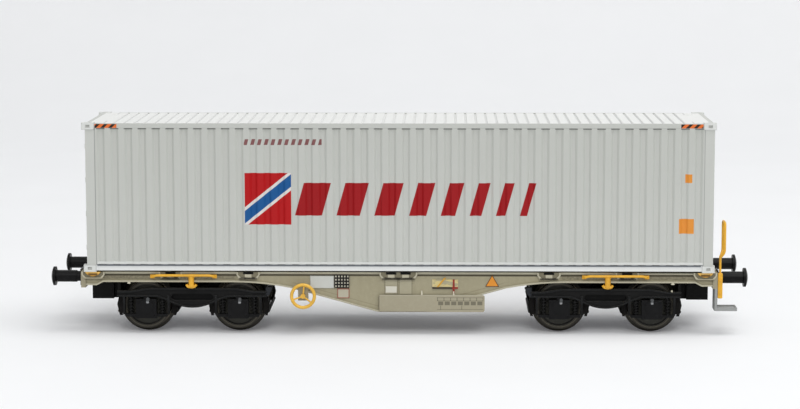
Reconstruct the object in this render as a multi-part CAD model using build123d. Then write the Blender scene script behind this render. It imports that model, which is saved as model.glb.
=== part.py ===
from build123d import *
from math import sqrt
import os

# Scale model (H0) of a four-axle container flat wagon with fishbelly sills,
# carrying a 40-foot high-cube container. Millimetres, +Z up, X along the
# track, the doors of the container at -X. Heights in this file are counted
# from the top of the rail; the finished model is raised by the depth of the
# wheel flanges, because on a flat floor it stands on them.

# Container
CONTAINER_LENGTH = 140.1
CONTAINER_WIDTH = 28.0
CONTAINER_HEIGHT = 33.3
WALL = 1.0                 # plastic wall behind the corrugations
SIDE_PITCH = 3.07          # one corrugation of a side wall
SIDE_DEPTH = 0.41
SIDE_RIB = (0.28, 0.15)    # shares of a pitch: bottom of a groove, one slope
ROOF_PITCH = 2.292
ROOF_DEPTH = 0.24
ROOF_RIB = (0.12, 0.08)
ROOF_PLATE_LENGTH = 2.1    # doubler plates beside the roof's castings
ROOF_PLATE_WIDTH = 4.6
ROOF_PLATE_RISE = 0.08
END_PITCH = 2.87           # corrugations of the blind end
END_DEPTH = 0.45
END_RIB = (0.35, 0.15)
COUNT_ROOM = 0.4           # share of a pitch by which the outer ribs may be cut
CASTING_LENGTH = 2.84
CASTING_WIDTH = 1.9
CASTING_HEIGHT = 1.55
CASTING_PROUD = 0.18       # castings stand out past rails and posts
DOOR_END_INSET = 0.8       # and past the doors and the blind end
BLIND_END_INSET = 0.4
CASTING_CHAMFER = 0.18
HOLE_LENGTH = 1.43         # lock holes in the castings' level faces
HOLE_WIDTH = 0.73
HOLE_DEPTH = 0.9
SIDE_HOLE_WIDTH = 0.9      # holes in the castings' outer faces
SIDE_HOLE_HEIGHT = 0.62
SIDE_HOLE_DEPTH = 0.35
POST_WIDTH = 2.2
RAIL_DEPTH = 0.9
TOP_RAIL = 1.05
RAIL_LIFT = 0.3            # rails above the underside of the castings
FLOOR_THICKNESS = 0.8
FLOOR_BEARERS = 12
FLOOR_BEARER_WIDTH = 1.2
DOOR_GAP = 0.12
DOOR_RECESS = 0.3
DOOR_PANELS = 5
DOOR_FRAME = 0.8           # flat border of a leaf beside its panels
DOOR_RIB = 1.2             # flat strip between two panels
DOOR_HINGES = 4
HINGE_HEIGHT = 1.1
HINGE_REACH = 0.7          # hinge plate over the leaf and over the post
HINGE_PROUD = 0.24
BAR_DIAMETER = 0.42        # door locking bars
BAR_PLACES = (3.2, 8.6)    # from the middle of the doors
BAR_PAST = 0.6             # bar past the leaf, onto the rails
KEEPER_WIDTH = 0.9
KEEPER_HEIGHT = 0.6
HANDLE_RISE = 9.5
HANDLE_LENGTH = 2.4
HANDLE_HEIGHT = 0.45

# Running gear
WHEEL_DIAMETER = 10.57
FLANGE_HEIGHT = 0.9
FLANGE_WIDTH = 0.7
FLANGE_TIP = 0.3           # back face to the crest of the flange
WHEEL_WIDTH = 2.8
BACK_TO_BACK = 14.4
RIM_THICKNESS = 0.85
WEB_SINK = 0.5
AXLE_DIAMETER = 2.0
JOURNAL_DIAMETER = 1.1
JOURNAL_LENGTH = 1.3
RUNNING = 0.06             # radial clearance of a turning shaft
WHEELBASE = 20.6
PIVOT_INSET = 24.7         # frame end to bogie pivot
PIVOT_DIAMETER = 2.6
PIVOT_PLATE = 5.2          # centre plates
PLATE_GAP = 0.1
CENTRE_PLATE = 1.02        # thickness of the bolster's centre plate
PIN_REACH = 1.4            # pivot pin below the top of the transom

# Bogie frame: heights counted from the axle
WHEEL_GAP = 0.7            # wheel to side frame
END_ROOM = 0.315           # wheel flange to the end of the side frame
FRAME_THICKNESS = 1.0
FRAME_FLANGE = 0.35
FRAME_RIB = 0.32
FRAME_RISE = 4.015         # top edge between the axles
FRAME_END_RISE = 3.355     # top edge past the axles
FRAME_TOP_INSET = 0.5      # the top edge starts to fall short of the axle
FRAME_TOP_RAMP = 4.1
FRAME_LOW_RISE = 2.115     # bottom edge over the axle boxes
BELLY_SIDE_RISE = 1.265
BELLY_LOW_DROP = 0.335
BELLY_REACH = 5.5
BELLY_RAMP = 2.3
WINDOW_RISE = 2.015
WINDOW_LENGTH = 9.4
WINDOW_TALL = 1.5
WINDOW_BACK = 0.3          # plastic left behind the window
GUIDE_REACH = 5.0
GUIDE_WIDTH = 0.5
GUIDE_DROP = 1.885
BOX_WIDTH = 4.6
BOX_PROUD = 0.7            # axle box past the side frame
BOX_TOP_RISE = 1.615
BOX_DROP = 2.685
BOX_COVER = 3.0            # round cover on the axle box
BOX_COVER_PROUD = 0.15
BOX_CAP = 1.2
JOURNAL_ROOM = 0.15        # end of the axle to the blind end of its hole
SEAT_DROP = 1.785          # spring seats under the axle
SEAT_THICKNESS = 0.6
SPRING_DIAMETER = 1.5
SPRING_REACH = 3.5
SHOE_GAP = 0.2
SHOE_THICKNESS = 1.0
SHOE_SPREAD = 2.6          # half height of a brake shoe's wedge
SHOE_INSET = 0.15          # shoe clear of the flange's fillet
HANGER_WIDTH = 0.8
HANGER_THICKNESS = 0.6
HANGER_BULGE = 0.4
HANGER_DROP = 2.5
BRAKE_BEAM = 0.7
BRAKE_BEAM_DROP = 1.6
TRANSOM_GAP = 0.415        # transom to the brake hangers
TRANSOM_RISE = 3.715
TRANSOM_LOW_RISE = 0.915
LUG_WIDTH = 2.0
LUG_HEIGHT = 0.8
END_BEAM = 0.6
END_BEAM_RISE = 2.465
END_PLATE_IN = 4.8         # plates on the end beams, clear of the swinging drawbar
INNER_BEAM = 1.2           # lengthwise beams inside the wheels
INNER_BEAM_ROOM = 0.7      # beam to the backs of the wheels
INNER_BEAM_LOW_RISE = 2.3
INNER_BEAM_RISE = 5.0

# Wagon body
WHEEL_ROOM = 0.2           # wheel flange to the frame over it
SHALLOW_MEMBER = 0.95      # cross member over a wheel
FLANGE_THICKNESS = 0.38    # flanges of the side sills
TOP_FLANGE = 0.5
FLANGE_RISE = 0.24         # top flange above the sill's web
LOAD_GAP = 0.1             # container to the top of the sills
END_MARGIN = 0.8           # frame past the container, each end
SILL_INSET = 1.0           # sill face inside the container's side
SILL_FLANGE = 2.0
SILL_WEB = 0.5
WEB_RECESS = 0.3
SILL_DEPTH = 2.1           # over the bogies
BELLY_DEPTH = 8.7          # at mid length
BELLY_FLAT = 4.6           # half of the straight bottom
BELLY_SLOPE_END = 24.0
BELLY_SLOPE_DEPTH = 3.35
BELLY_CURVE_END = 37.0
FOOT_DEPTH = 2.84          # deeper foot of the sill beside the headstock
FOOT_LENGTH = 2.5
FOOT_RAMP = 1.4
HEADSTOCK_THICKNESS = 1.05
HEADSTOCK_DEPTH = 3.36
HEADSTOCK_OPENING = 3.8    # half of the cut-away over the coupler
COUPLER_NOTCH = 1.0
BOLSTER_DEPTH = 1.6
BOLSTER_PLAY = 0.02        # bolster to the flanges beside it
MEMBER_THICKNESS = 1.0
MIDDLE_MEMBER = 5.0        # depth of a cross member
INNER_MEMBER = 3.2
CROSS_MEMBERS = (
    # share of the way to the pivot, depth
    (0.035, MIDDLE_MEMBER),
    (0.35, INNER_MEMBER),
    (0.7, SHALLOW_MEMBER),
    (1.27, SHALLOW_MEMBER),
)
DRAFT_WIDTH = 3.2
BEARER_Y = 4.1
BEARER_SIZE = 0.8
SPIGOT_GAP = 0.08
SPIGOT_HEIGHT = 0.75

# Fittings on the side sills
POCKET_PROUD = 0.35        # folding-lock trays
POCKET_DEPTH = 1.4
POCKET_TOP_WIDTH = 5.2
POCKET_BOTTOM_WIDTH = 3.9
POCKET_RIM = 0.35
POCKET_SINK = 0.2
POCKET_SLOT = 2.3
POCKET_SLOT_DEPTH = 0.5
POCKET_LIP = 1.5
TWIN_SPREAD = 1.6          # the two locks of the middle tray
POCKET_PLACES = (33.45, 50.8)
STEM_WIDTH = 2.95          # stems under the middle locks
STEM_DEPTH = 4.7
STEM_PROUD = 0.12
CORNER_TRAY_INSET = 0.55
LOCK_WIDTH = 3.5           # yellow corner locks
LOCK_DIP = 0.95
LOCK_RISE = 0.25
LOCK_PROUD = 0.3
HANDRAIL_DIAMETER = 0.62
HANDRAIL_DROP = 0.48
HANDRAIL_PROUD = 0.85
HANDRAIL_OUT = 9.3
HANDRAIL_IN = 5.5
HOOK_TOP_DROP = 1.1
HOOK_DROP = 3.5
HOOK_SHANK = 1.4
HOOK_WIDTH = 2.6
HOOK_THROAT = 1.0          # heights above the hook's lowest point
HOOK_TIP = 1.25
HOOK_CURVE = 0.35
HOOK_INSET = 0.15
HOOK_THICKNESS = 0.6
BOARD_START = 4.4
BOARD_LENGTH = 23.6
BOARD_HEIGHT = 3.8
BOARD_DROP = 4.85
BOARD_THICKNESS = 0.35
BOARD_CORNER = 0.5
LABEL_DROP = 0.4
GRID_START = 10.95
GRID_LENGTH = 3.3
GRID_HEIGHT = 2.9
GRID_COLUMNS = 5
GRID_ROWS = 4
GRID_BAR = 0.2
LEVER_X = 10.4             # brake changeover plate
LEVER_PLATE = (5.7, 1.7)
LEVER_DROP = 1.4
LEVER_THICKNESS = 0.15
LEVER_ROD = 0.4
LEVER_KNOB_X = 12.3
LEVER_KNOB = 2.1
HANDWHEEL_X = 21.2
HANDWHEEL_DROP = 5.0
HANDWHEEL_PROUD = 1.3
HANDWHEEL_DIAMETER = 5.8
HANDWHEEL_RIM = 0.7
HANDWHEEL_SPOKES = 3
HANDWHEEL_HUB = 1.1
SPOKE_WIDTH = 0.5
SPINDLE_DIAMETER = 0.7
BRACKET_WIDTH = 2.3
BRACKET_THICKNESS = 0.5
BRACKET_LEG = 0.6
BRACKET_LAP = 1.0          # bracket in front of the sill

# Fittings at the ends
RAILING_DIAMETER = 0.5
RAILING_PLATE = 1.15
RAILING_STAND_OFF = 0.4
POST_DROP = 5.55
LOOP_RISE = 3.6            # foot and top of the loop, over the sill
LOOP_TOP_RISE = 11.7
LOOP_BEND = 1.2
LOOP_NEAR = 0.75
LOOP_FAR = 2.9
STEP_LENGTH = 4.4
STEP_DEPTH = 4.2
STEP_DROP = 8.34
STEP_THICKNESS = 0.72
STEP_RIM = 0.3
STEP_SINK = 0.15
STEP_HANGER = 0.6
BUFFER_SPACING = 20.12
BUFFER_DROP = 1.2          # middle of the buffers under the sill top
BUFFER_REACH = 6.98
BUFFER_HEAD = 4.25
BUFFER_RIM = 0.55
BUFFER_DOME = 0.45
BUFFER_SLEEVE = 2.65
BUFFER_HOUSING = 2.3
BUFFER_HOUSING_LENGTH = 1.0
BUFFER_PLATE = 3.6
BUFFER_PLATE_THICKNESS = 0.3

# Brake gear under the middle
TANK_PLACE = 0.184         # share of the way to the pivot
TANK_DROP = 5.3
TANK_DIAMETER = 4.4
TANK_LENGTH = 14.0
TANK_END_DIAMETER = 3.4
TANK_END = 0.5
STRAP_WIDTH = 0.8
CYLINDER_PLACE = 0.2
CYLINDER_DROP = 4.6
CYLINDER_DIAMETER = 4.2
CYLINDER_LENGTH = 4.4
CYLINDER_AHEAD = 1.2
PUSH_ROD = 1.0
PUSH_ROD_LENGTH = 2.8

# Couplers
COUPLER_WIDTH = 5.2
COUPLER_HEIGHT = 3.56
COUPLER_LENGTH = 6.05
COUPLER_OVER = 0.36        # drawbar over the bogie's end
BAR_THICKNESS = 0.7
BAR_WIDTH = 2.0
NECK_LENGTH = 1.6
NECK_WIDTH = 2.4
NECK_SHOULDER = 1.2
SOCKET_WALL = 0.9
SOCKET_WIDTH = 3.2
SOCKET_HEIGHT = 1.7
COUPLER_PIN = 1.0
COUPLER_PIN_INSET = 3.35   # pin short of the bogie's end
COUPLER_BOGIE_GAP = 0.9
WASHER_DIAMETER = 1.6
WASHER = 0.5

# Places that follow from the sizes above
HALF_LENGTH = CONTAINER_LENGTH / 2
HALF_WIDTH = CONTAINER_WIDTH / 2
AXLE_HEIGHT = WHEEL_DIAMETER / 2
TREAD = WHEEL_DIAMETER / 2
FLANGE_RADIUS = TREAD + FLANGE_HEIGHT
CROSS_TOP = WHEEL_DIAMETER + FLANGE_HEIGHT + WHEEL_ROOM + SHALLOW_MEMBER
SILL_TOP = CROSS_TOP + FLANGE_THICKNESS
SILL_HIGH = SILL_TOP + FLANGE_RISE
DECK_HEIGHT = SILL_HIGH + LOAD_GAP
FRAME_HALF = HALF_LENGTH + END_MARGIN
SILL_HALF = FRAME_HALF - HEADSTOCK_THICKNESS
SILL_Y = HALF_WIDTH - SILL_INSET
SILL_IN = SILL_Y - SILL_FLANGE
WEB_OUT = SILL_Y - WEB_RECESS
WEB_IN = WEB_OUT - SILL_WEB
PIVOT_X = FRAME_HALF - PIVOT_INSET
CASTING_X = HALF_LENGTH - CASTING_LENGTH / 2
CASTING_Y = HALF_WIDTH - CASTING_WIDTH / 2
CASTING_IN_X = HALF_LENGTH - CASTING_LENGTH
CASTING_IN_Y = HALF_WIDTH - CASTING_WIDTH
END_FACE = {-1: HALF_LENGTH - DOOR_END_INSET, 1: HALF_LENGTH - BLIND_END_INSET}
BODY_Y = HALF_WIDTH - CASTING_PROUD
ROOF_TOP = DECK_HEIGHT + CONTAINER_HEIGHT - CASTING_PROUD
WALL_LOW = DECK_HEIGHT + CASTING_HEIGHT
WALL_HIGH = DECK_HEIGHT + CONTAINER_HEIGHT - CASTING_HEIGHT
SIDE_HIGH = ROOF_TOP - TOP_RAIL
WHEEL_OUT = BACK_TO_BACK / 2 + WHEEL_WIDTH
FRAME_INSIDE = WHEEL_OUT + WHEEL_GAP
FRAME_EDGE = FRAME_INSIDE + FRAME_THICKNESS + FRAME_FLANGE
AXLE_HALF = FRAME_INSIDE + JOURNAL_LENGTH
BOGIE_HALF = WHEELBASE / 2 + FLANGE_RADIUS + END_ROOM
FRAME_TOP = AXLE_HEIGHT + FRAME_RISE
FRAME_LOW_TOP = AXLE_HEIGHT + FRAME_END_RISE
FRAME_BOTTOM = AXLE_HEIGHT + FRAME_LOW_RISE
BELLY_SIDE = AXLE_HEIGHT + BELLY_SIDE_RISE
HANGER_TOP = AXLE_HEIGHT + END_BEAM_RISE
SHOE_BACK = TREAD + SHOE_GAP + SHOE_THICKNESS
TRANSOM_HALF = WHEELBASE / 2 - SHOE_BACK - HANGER_BULGE - TRANSOM_GAP
TRANSOM_TOP = AXLE_HEIGHT + TRANSOM_RISE
TRANSOM_LOW = AXLE_HEIGHT + TRANSOM_LOW_RISE
BOLSTER_LOW = CROSS_TOP - BOLSTER_DEPTH
BOGIE_PLATE_TOP = BOLSTER_LOW - CENTRE_PLATE - PLATE_GAP
COUPLER_TOP = FRAME_LOW_TOP + COUPLER_OVER
COUPLER_LOW = COUPLER_TOP - COUPLER_HEIGHT
BAR_TOP = COUPLER_TOP + BAR_THICKNESS
DRAFT_LOW = BAR_TOP + WASHER
COUPLER_IN = PIVOT_X + BOGIE_HALF + COUPLER_BOGIE_GAP
COUPLER_PIN_X = PIVOT_X + BOGIE_HALF - COUPLER_PIN_INSET
ENDS = (("left", -1), ("right", 1))
SIDES = (("near", -1), ("far", 1))


def box(x, y, z):
    """Block between three pairs of limits, each pair in any order."""
    size = [abs(b - a) for a, b in (x, y, z)]
    middle = [(a + b) / 2 for a, b in (x, y, z)]
    return Pos(*middle) * Box(*size)


def upright(outline, y):
    """Plate with an outline of (x, z) points between two y limits."""
    low, high = sorted(y)
    face = Face(Wire(Polyline([(px, low, pz) for px, pz in outline], close=True).edges()))
    return extrude(face, amount=high - low, dir=(0, 1, 0))


def lengthwise(outline, x):
    """Bar with a cross-section of (y, z) points between two x limits."""
    low, high = sorted(x)
    face = Face(Wire(Polyline([(low, py, pz) for py, pz in outline], close=True).edges()))
    return extrude(face, amount=high - low, dir=(1, 0, 0))


def flat(outline, z):
    """Plate with an outline of (x, y) points between two z limits."""
    low, high = sorted(z)
    face = Face(Wire(Polyline([(px, py, low) for px, py in outline], close=True).edges()))
    return extrude(face, amount=high - low, dir=(0, 0, 1))


def rod_along_y(diameter, y, x=0, z=0):
    low, high = sorted(y)
    turned = Rot(-90, 0, 0) * Cylinder(diameter / 2, high - low)
    return Pos(x, (low + high) / 2, z) * turned


def rod_along_x(diameter, x, y=0, z=0):
    low, high = sorted(x)
    turned = Rot(0, 90, 0) * Cylinder(diameter / 2, high - low)
    return Pos((low + high) / 2, y, z) * turned


def rod_along_z(diameter, z, x=0, y=0):
    low, high = sorted(z)
    return Pos(x, y, (low + high) / 2) * Cylinder(diameter / 2, high - low)


def octagon(diameter):
    """Section of a thin moulded bar, measured across its flats."""
    return RegularPolygon(diameter / 2, 8, major_radius=False)


def bar_along_z(diameter, z, x=0, y=0):
    low, high = sorted(z)
    return Pos(x, y, low) * extrude(octagon(diameter), amount=high - low)


def bent_bar(diameter, points):
    """Thin bar along straight runs with mitred corners."""
    path = Polyline(*points)
    start = Plane(origin=path @ 0, z_dir=path % 0)
    return sweep(start * octagon(diameter), path=path, transition=Transition.RIGHT)


def write(name, *pieces):
    """One STEP file for one piece of the model, raised to stand on its flanges."""
    solids = [solid for piece in pieces for solid in piece.solids()]
    whole = Compound(children=[Pos(0, 0, FLANGE_HEIGHT) * solid for solid in solids])
    export_step(whole, os.path.join("parts", name + ".step"))


def four_corners(x, y):
    return [(sx * x, sy * y, sx, sy) for sx in (-1, 1) for sy in (-1, 1)]


# Container walls: an outer corrugated face on a flat plastic wall

def corrugation(length, pitch, depth, rib):
    """Outline of a wall seen along its ribs: face at 0, grooves at -depth, flat back."""
    count = int(length / pitch + COUNT_ROOM)
    start = -count * pitch / 2
    half = rib[0] * pitch / 2
    edge = half + rib[1] * pitch
    points = [(-length / 2, -WALL), (-length / 2, 0)]
    for i in range(count):
        x = start + (i + 0.5) * pitch
        points += [(x - edge, 0), (x - half, -depth), (x + half, -depth), (x + edge, 0)]
    points += [(length / 2, 0), (length / 2, -WALL)]
    return points


def container_side(sign):
    """Side wall between the corner posts and the two rails."""
    left, right = POST_WIDTH - END_FACE[-1], END_FACE[1] - POST_WIDTH
    middle = (left + right) / 2
    outline = corrugation(right - left, SIDE_PITCH, SIDE_DEPTH, SIDE_RIB)
    wall = flat([(middle + x, sign * (BODY_Y + out)) for x, out in outline], (WALL_LOW, SIDE_HIGH))
    for end in (-1, 1):
        corner = (end * CASTING_IN_X, end * HALF_LENGTH)
        wall -= box(corner, (0, sign * HALF_WIDTH), (WALL_HIGH, SIDE_HIGH))
    return wall


def container_roof():
    """Roof sheet with cross ribs, plain plates at both ends and doublers at its corners."""
    rail_y = BODY_Y - RAIL_DEPTH
    ribs_half = CASTING_IN_X - ROOF_PLATE_LENGTH - ROOF_PITCH / 2
    outline = corrugation(2 * ribs_half, ROOF_PITCH, ROOF_DEPTH, ROOF_RIB)
    roof = upright([(x, ROOF_TOP + out) for x, out in outline], (-rail_y, rail_y))
    height = (ROOF_TOP - WALL, ROOF_TOP)
    for sign in (-1, 1):
        roof += box((sign * ribs_half, sign * CASTING_IN_X), (-rail_y, rail_y), height)
        roof += box(
            (sign * CASTING_IN_X, sign * (END_FACE[sign] - RAIL_DEPTH)), (-CASTING_IN_Y, CASTING_IN_Y), height
        )
    for x, y, sx, sy in four_corners(CASTING_IN_X, rail_y):
        roof += box(
            (x, x - sx * ROOF_PLATE_LENGTH), (y, y - sy * ROOF_PLATE_WIDTH),
            (ROOF_TOP - WALL / 2, ROOF_TOP + ROOF_PLATE_RISE),
        )
    return roof


def container_rails(low, end_low, high):
    """Two long rails and two end rails between the castings."""
    rails = []
    for sign in (-1, 1):
        y = (sign * (BODY_Y - RAIL_DEPTH), sign * BODY_Y)
        rails.append(box((-CASTING_IN_X, CASTING_IN_X), y, (low, high)))
        x = (sign * (END_FACE[sign] - RAIL_DEPTH), sign * END_FACE[sign])
        rails.append(box(x, (-CASTING_IN_Y, CASTING_IN_Y), (end_low, high)))
    return rails


def container_floor():
    """Floor plate with cross bearers under it."""
    rail_y = BODY_Y - RAIL_DEPTH
    rail_x = [sign * (END_FACE[sign] - RAIL_DEPTH) for sign in (-1, 1)]
    height = (WALL_LOW - FLOOR_THICKNESS, WALL_LOW)
    floor = box((-CASTING_IN_X, CASTING_IN_X), (-rail_y, rail_y), height)
    floor += box(rail_x, (-CASTING_IN_Y, CASTING_IN_Y), height)
    pitch = 2 * CASTING_IN_X / FLOOR_BEARERS
    for i in range(FLOOR_BEARERS):
        x = -CASTING_IN_X + (i + 0.5) * pitch
        floor += box(
            (x - FLOOR_BEARER_WIDTH / 2, x + FLOOR_BEARER_WIDTH / 2), (-rail_y, rail_y),
            (DECK_HEIGHT + RAIL_LIFT, WALL_LOW - FLOOR_THICKNESS),
        )
    return floor


def container_blind_end():
    """Corrugated end wall between the corner posts."""
    outline = corrugation(2 * CASTING_IN_Y, END_PITCH, END_DEPTH, END_RIB)
    points = [(END_FACE[1] + out, y) for y, out in outline]
    return flat(points, (WALL_LOW, WALL_HIGH))


def container_door(sign):
    """One door leaf with recessed panels, and hinge plates that lap onto its post."""
    inner, outer = DOOR_GAP / 2, CASTING_IN_Y - DOOR_GAP
    low, high = WALL_LOW + DOOR_GAP, WALL_HIGH - DOOR_GAP
    face = -END_FACE[-1]
    leaf = box((face, face + WALL), (sign * inner, sign * outer), (low, high))
    pitch = (WALL_HIGH - WALL_LOW) / DOOR_PANELS
    for i in range(DOOR_PANELS):
        z = WALL_LOW + (i + 0.5) * pitch
        leaf -= box(
            (face - DOOR_RECESS, face + DOOR_RECESS),
            (sign * (inner + DOOR_FRAME), sign * (outer - DOOR_FRAME)),
            (z - (pitch - DOOR_RIB) / 2, z + (pitch - DOOR_RIB) / 2),
        )
    for i in range(DOOR_HINGES):
        z = WALL_LOW + (i + 0.5) * (WALL_HIGH - WALL_LOW) / DOOR_HINGES
        leaf += box(
            (face - HINGE_PROUD, face),
            (sign * (outer - HINGE_REACH), sign * (outer + DOOR_GAP + HINGE_REACH)),
            (z - HINGE_HEIGHT / 2, z + HINGE_HEIGHT / 2),
        )
    return leaf


def door_bars():
    """Four locking bars with cam keepers at both ends and a handle each."""
    bars = []
    face = -END_FACE[-1]
    x = face - BAR_DIAMETER / 2
    inner, outer = BAR_PLACES
    low, high = WALL_LOW - BAR_PAST, WALL_HIGH + BAR_PAST
    handle_z = WALL_LOW + HANDLE_RISE
    for y, toward in ((-outer, 1), (-inner, -1), (inner, 1), (outer, -1)):
        bar = bar_along_z(BAR_DIAMETER, (low, high), x, y)
        keeper = (y - KEEPER_WIDTH / 2, y + KEEPER_WIDTH / 2)
        for z in (low, high - KEEPER_HEIGHT):
            bar += box((face, face - BAR_DIAMETER), keeper, (z, z + KEEPER_HEIGHT))
        handle = (y, y + toward * HANDLE_LENGTH)
        bar += box((face, face - BAR_DIAMETER), handle, (handle_z, handle_z + HANDLE_HEIGHT))
        bars.append(bar)
    return bars


def casting(x, y, sx, sy, low):
    """Corner casting with an oval hole in its level face and one in each outer face."""
    solid = box(
        (x - CASTING_LENGTH / 2, x + CASTING_LENGTH / 2),
        (y - CASTING_WIDTH / 2, y + CASTING_WIDTH / 2),
        (low, low + CASTING_HEIGHT),
    )
    outer = solid.edges().filter_by(Axis.Z).sort_by(lambda e: sx * e.center().X + sy * e.center().Y)[-1]
    solid = chamfer(outer, CASTING_CHAMFER)
    face = low if low < WALL_LOW else low + CASTING_HEIGHT
    middle = low + CASTING_HEIGHT / 2
    slot = extrude(SlotOverall(HOLE_LENGTH, HOLE_WIDTH), amount=HOLE_DEPTH, both=True)
    solid -= Pos(x, y, face) * slot
    side_hole = Box(SIDE_HOLE_WIDTH, 2 * SIDE_HOLE_DEPTH, SIDE_HOLE_HEIGHT)
    solid -= Pos(x, y + sy * CASTING_WIDTH / 2, middle) * side_hole
    end_hole = Box(2 * SIDE_HOLE_DEPTH, SIDE_HOLE_WIDTH, SIDE_HOLE_HEIGHT)
    solid -= Pos(x + sx * CASTING_LENGTH / 2, y, middle) * end_hole
    return solid


def container():
    for name, sign in SIDES:
        write(f"container_side_{name}", container_side(sign))
        write(f"container_door_{name}", container_door(sign))
    write("container_roof", container_roof())
    write("container_blind_end", container_blind_end())
    write("container_floor", container_floor())
    write("container_top_rails", *container_rails(SIDE_HIGH, WALL_HIGH, ROOF_TOP))
    low = DECK_HEIGHT + RAIL_LIFT
    write("container_bottom_rails", *container_rails(low, low, WALL_LOW))
    write("container_door_bars", *door_bars())
    posts = [
        box(
            (sx * (END_FACE[sx] - POST_WIDTH), sx * END_FACE[sx]),
            (sy * CASTING_IN_Y, sy * BODY_Y),
            (WALL_LOW, WALL_HIGH),
        )
        for x, y, sx, sy in four_corners(CASTING_X, CASTING_Y)
    ]
    write("container_corner_posts", *posts)
    castings = [
        casting(x, y, sx, sy, low)
        for low in (DECK_HEIGHT, WALL_HIGH)
        for x, y, sx, sy in four_corners(CASTING_X, CASTING_Y)
    ]
    write("container_corner_castings", *castings)


# Side sills: a fishbelly plate with a flange along both edges

def belly(y, rise):
    """Lower edge of the sill from end to end, moved up by rise."""
    base = SILL_TOP + rise
    edges = []
    for side in (-1, 1):
        half = [
            (0, BELLY_DEPTH),
            (BELLY_FLAT, BELLY_DEPTH),
            (BELLY_SLOPE_END, BELLY_SLOPE_DEPTH),
            (BELLY_CURVE_END, SILL_DEPTH),
            (SILL_HALF - FOOT_LENGTH - FOOT_RAMP, SILL_DEPTH),
            (SILL_HALF - FOOT_LENGTH, FOOT_DEPTH),
            (SILL_HALF, FOOT_DEPTH),
        ]
        points = [(side * x, y, base - depth) for x, depth in half]
        edges.append(TangentArc(points[3], points[2], tangent=(-side, 0, 0)))
        for i in (0, 1, 3, 4, 5):
            edges.append(Line(points[i], points[i + 1]))
    return edges


def belly_depth(x):
    """Depth of the lower edge under the sill's top at a distance from mid length."""
    if x < BELLY_FLAT:
        return BELLY_DEPTH
    if x < BELLY_SLOPE_END:
        share = (x - BELLY_FLAT) / (BELLY_SLOPE_END - BELLY_FLAT)
        return BELLY_DEPTH + share * (BELLY_SLOPE_DEPTH - BELLY_DEPTH)
    if x < BELLY_CURVE_END:
        run, drop = BELLY_CURVE_END - BELLY_SLOPE_END, BELLY_SLOPE_DEPTH - SILL_DEPTH
        radius = (run**2 + drop**2) / (2 * drop)
        return SILL_DEPTH + radius - sqrt(radius**2 - (BELLY_CURVE_END - x) ** 2)
    return SILL_DEPTH


def sill_plate(y, top, rise):
    """Upright plate between the belly line and a level top edge."""
    low, high = sorted(y)
    foot = SILL_TOP + rise - FOOT_DEPTH
    rim = [
        Line((SILL_HALF, low, foot), (SILL_HALF, low, top)),
        Line((SILL_HALF, low, top), (-SILL_HALF, low, top)),
        Line((-SILL_HALF, low, top), (-SILL_HALF, low, foot)),
    ]
    face = Face(Wire(belly(low, rise) + rim))
    return extrude(face, amount=high - low, dir=(0, 1, 0))


def sill_lip(y):
    """Lower flange that follows the belly line."""
    return sill_plate(y, SILL_TOP, 0) - sill_plate(y, SILL_TOP + 1, FLANGE_THICKNESS)


def side_sill(sign):
    web = sill_plate((sign * WEB_IN, sign * WEB_OUT), SILL_TOP, 0)
    lip = sill_lip((sign * SILL_IN, sign * SILL_Y))
    top = box((-SILL_HALF, SILL_HALF), (sign * SILL_IN, sign * SILL_Y), (SILL_HIGH - TOP_FLANGE, SILL_HIGH))
    return web + lip + top


def headstock(sign):
    """End beam across the frame, cut away under its middle for the coupler."""
    wide, narrow = HEADSTOCK_OPENING + COUPLER_NOTCH, HEADSTOCK_OPENING
    low = SILL_TOP - HEADSTOCK_DEPTH
    outline = [
        (-SILL_Y, low), (-wide, low), (-narrow, low + COUPLER_NOTCH),
        (narrow, low + COUPLER_NOTCH), (wide, low), (SILL_Y, low),
        (SILL_Y, SILL_HIGH), (-SILL_Y, SILL_HIGH),
    ]
    return lengthwise(outline, (sign * SILL_HALF, sign * FRAME_HALF))


def cross_members():
    """Bearers between the webs; those beside a wheel are shallow."""
    members = []
    half = MEMBER_THICKNESS / 2
    for share, depth in CROSS_MEMBERS:
        for side in (-1, 1):
            x = side * share * PIVOT_X
            height = (CROSS_TOP - depth, CROSS_TOP)
            if share < 1:
                members.append(box((x - half, x + half), (-WEB_IN, WEB_IN), height))
                continue
            for sy in (-1, 1):
                members.append(box((x - half, x + half), (sy * DRAFT_WIDTH / 2, sy * WEB_IN), height))
    return members


def brake_bearers():
    """Lengthwise bearers between the members, the bolsters and the headstocks."""
    bearers = []
    half = MEMBER_THICKNESS / 2
    inner, second, third, outer = [share * PIVOT_X for share, _ in CROSS_MEMBERS]
    spans = (
        (inner + half, second - half),
        (second + half, third - half),
        (third + half, PIVOT_X - PIVOT_PLATE / 2),
        (PIVOT_X + PIVOT_PLATE / 2, outer - half),
        (outer + half, SILL_HALF),
    )
    for sx in (-1, 1):
        for sy in (-1, 1):
            y = (sy * BEARER_Y, sy * (BEARER_Y + BEARER_SIZE))
            for start, end in spans:
                bearers.append(box((sx * start, sx * end), y, (CROSS_TOP - BEARER_SIZE, CROSS_TOP)))
    return bearers


def bolster(sign):
    """Box beam over the bogie with its centre plate and pivot pin."""
    x = sign * PIVOT_X
    half = PIVOT_PLATE / 2
    shelf = SILL_TOP - SILL_DEPTH + FLANGE_THICKNESS + BOLSTER_PLAY
    beam = box((x - half, x + half), (-WEB_IN, WEB_IN), (shelf, CROSS_TOP))
    inner = SILL_IN - PLATE_GAP
    beam += box((x - half, x + half), (-inner, inner), (BOLSTER_LOW, CROSS_TOP))
    plate_low = BOGIE_PLATE_TOP + PLATE_GAP
    plate = rod_along_z(PIVOT_PLATE, (plate_low, BOLSTER_LOW), x)
    pin = rod_along_z(PIVOT_DIAMETER, (TRANSOM_TOP - PIN_REACH, plate_low), x)
    return beam + plate + pin


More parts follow.
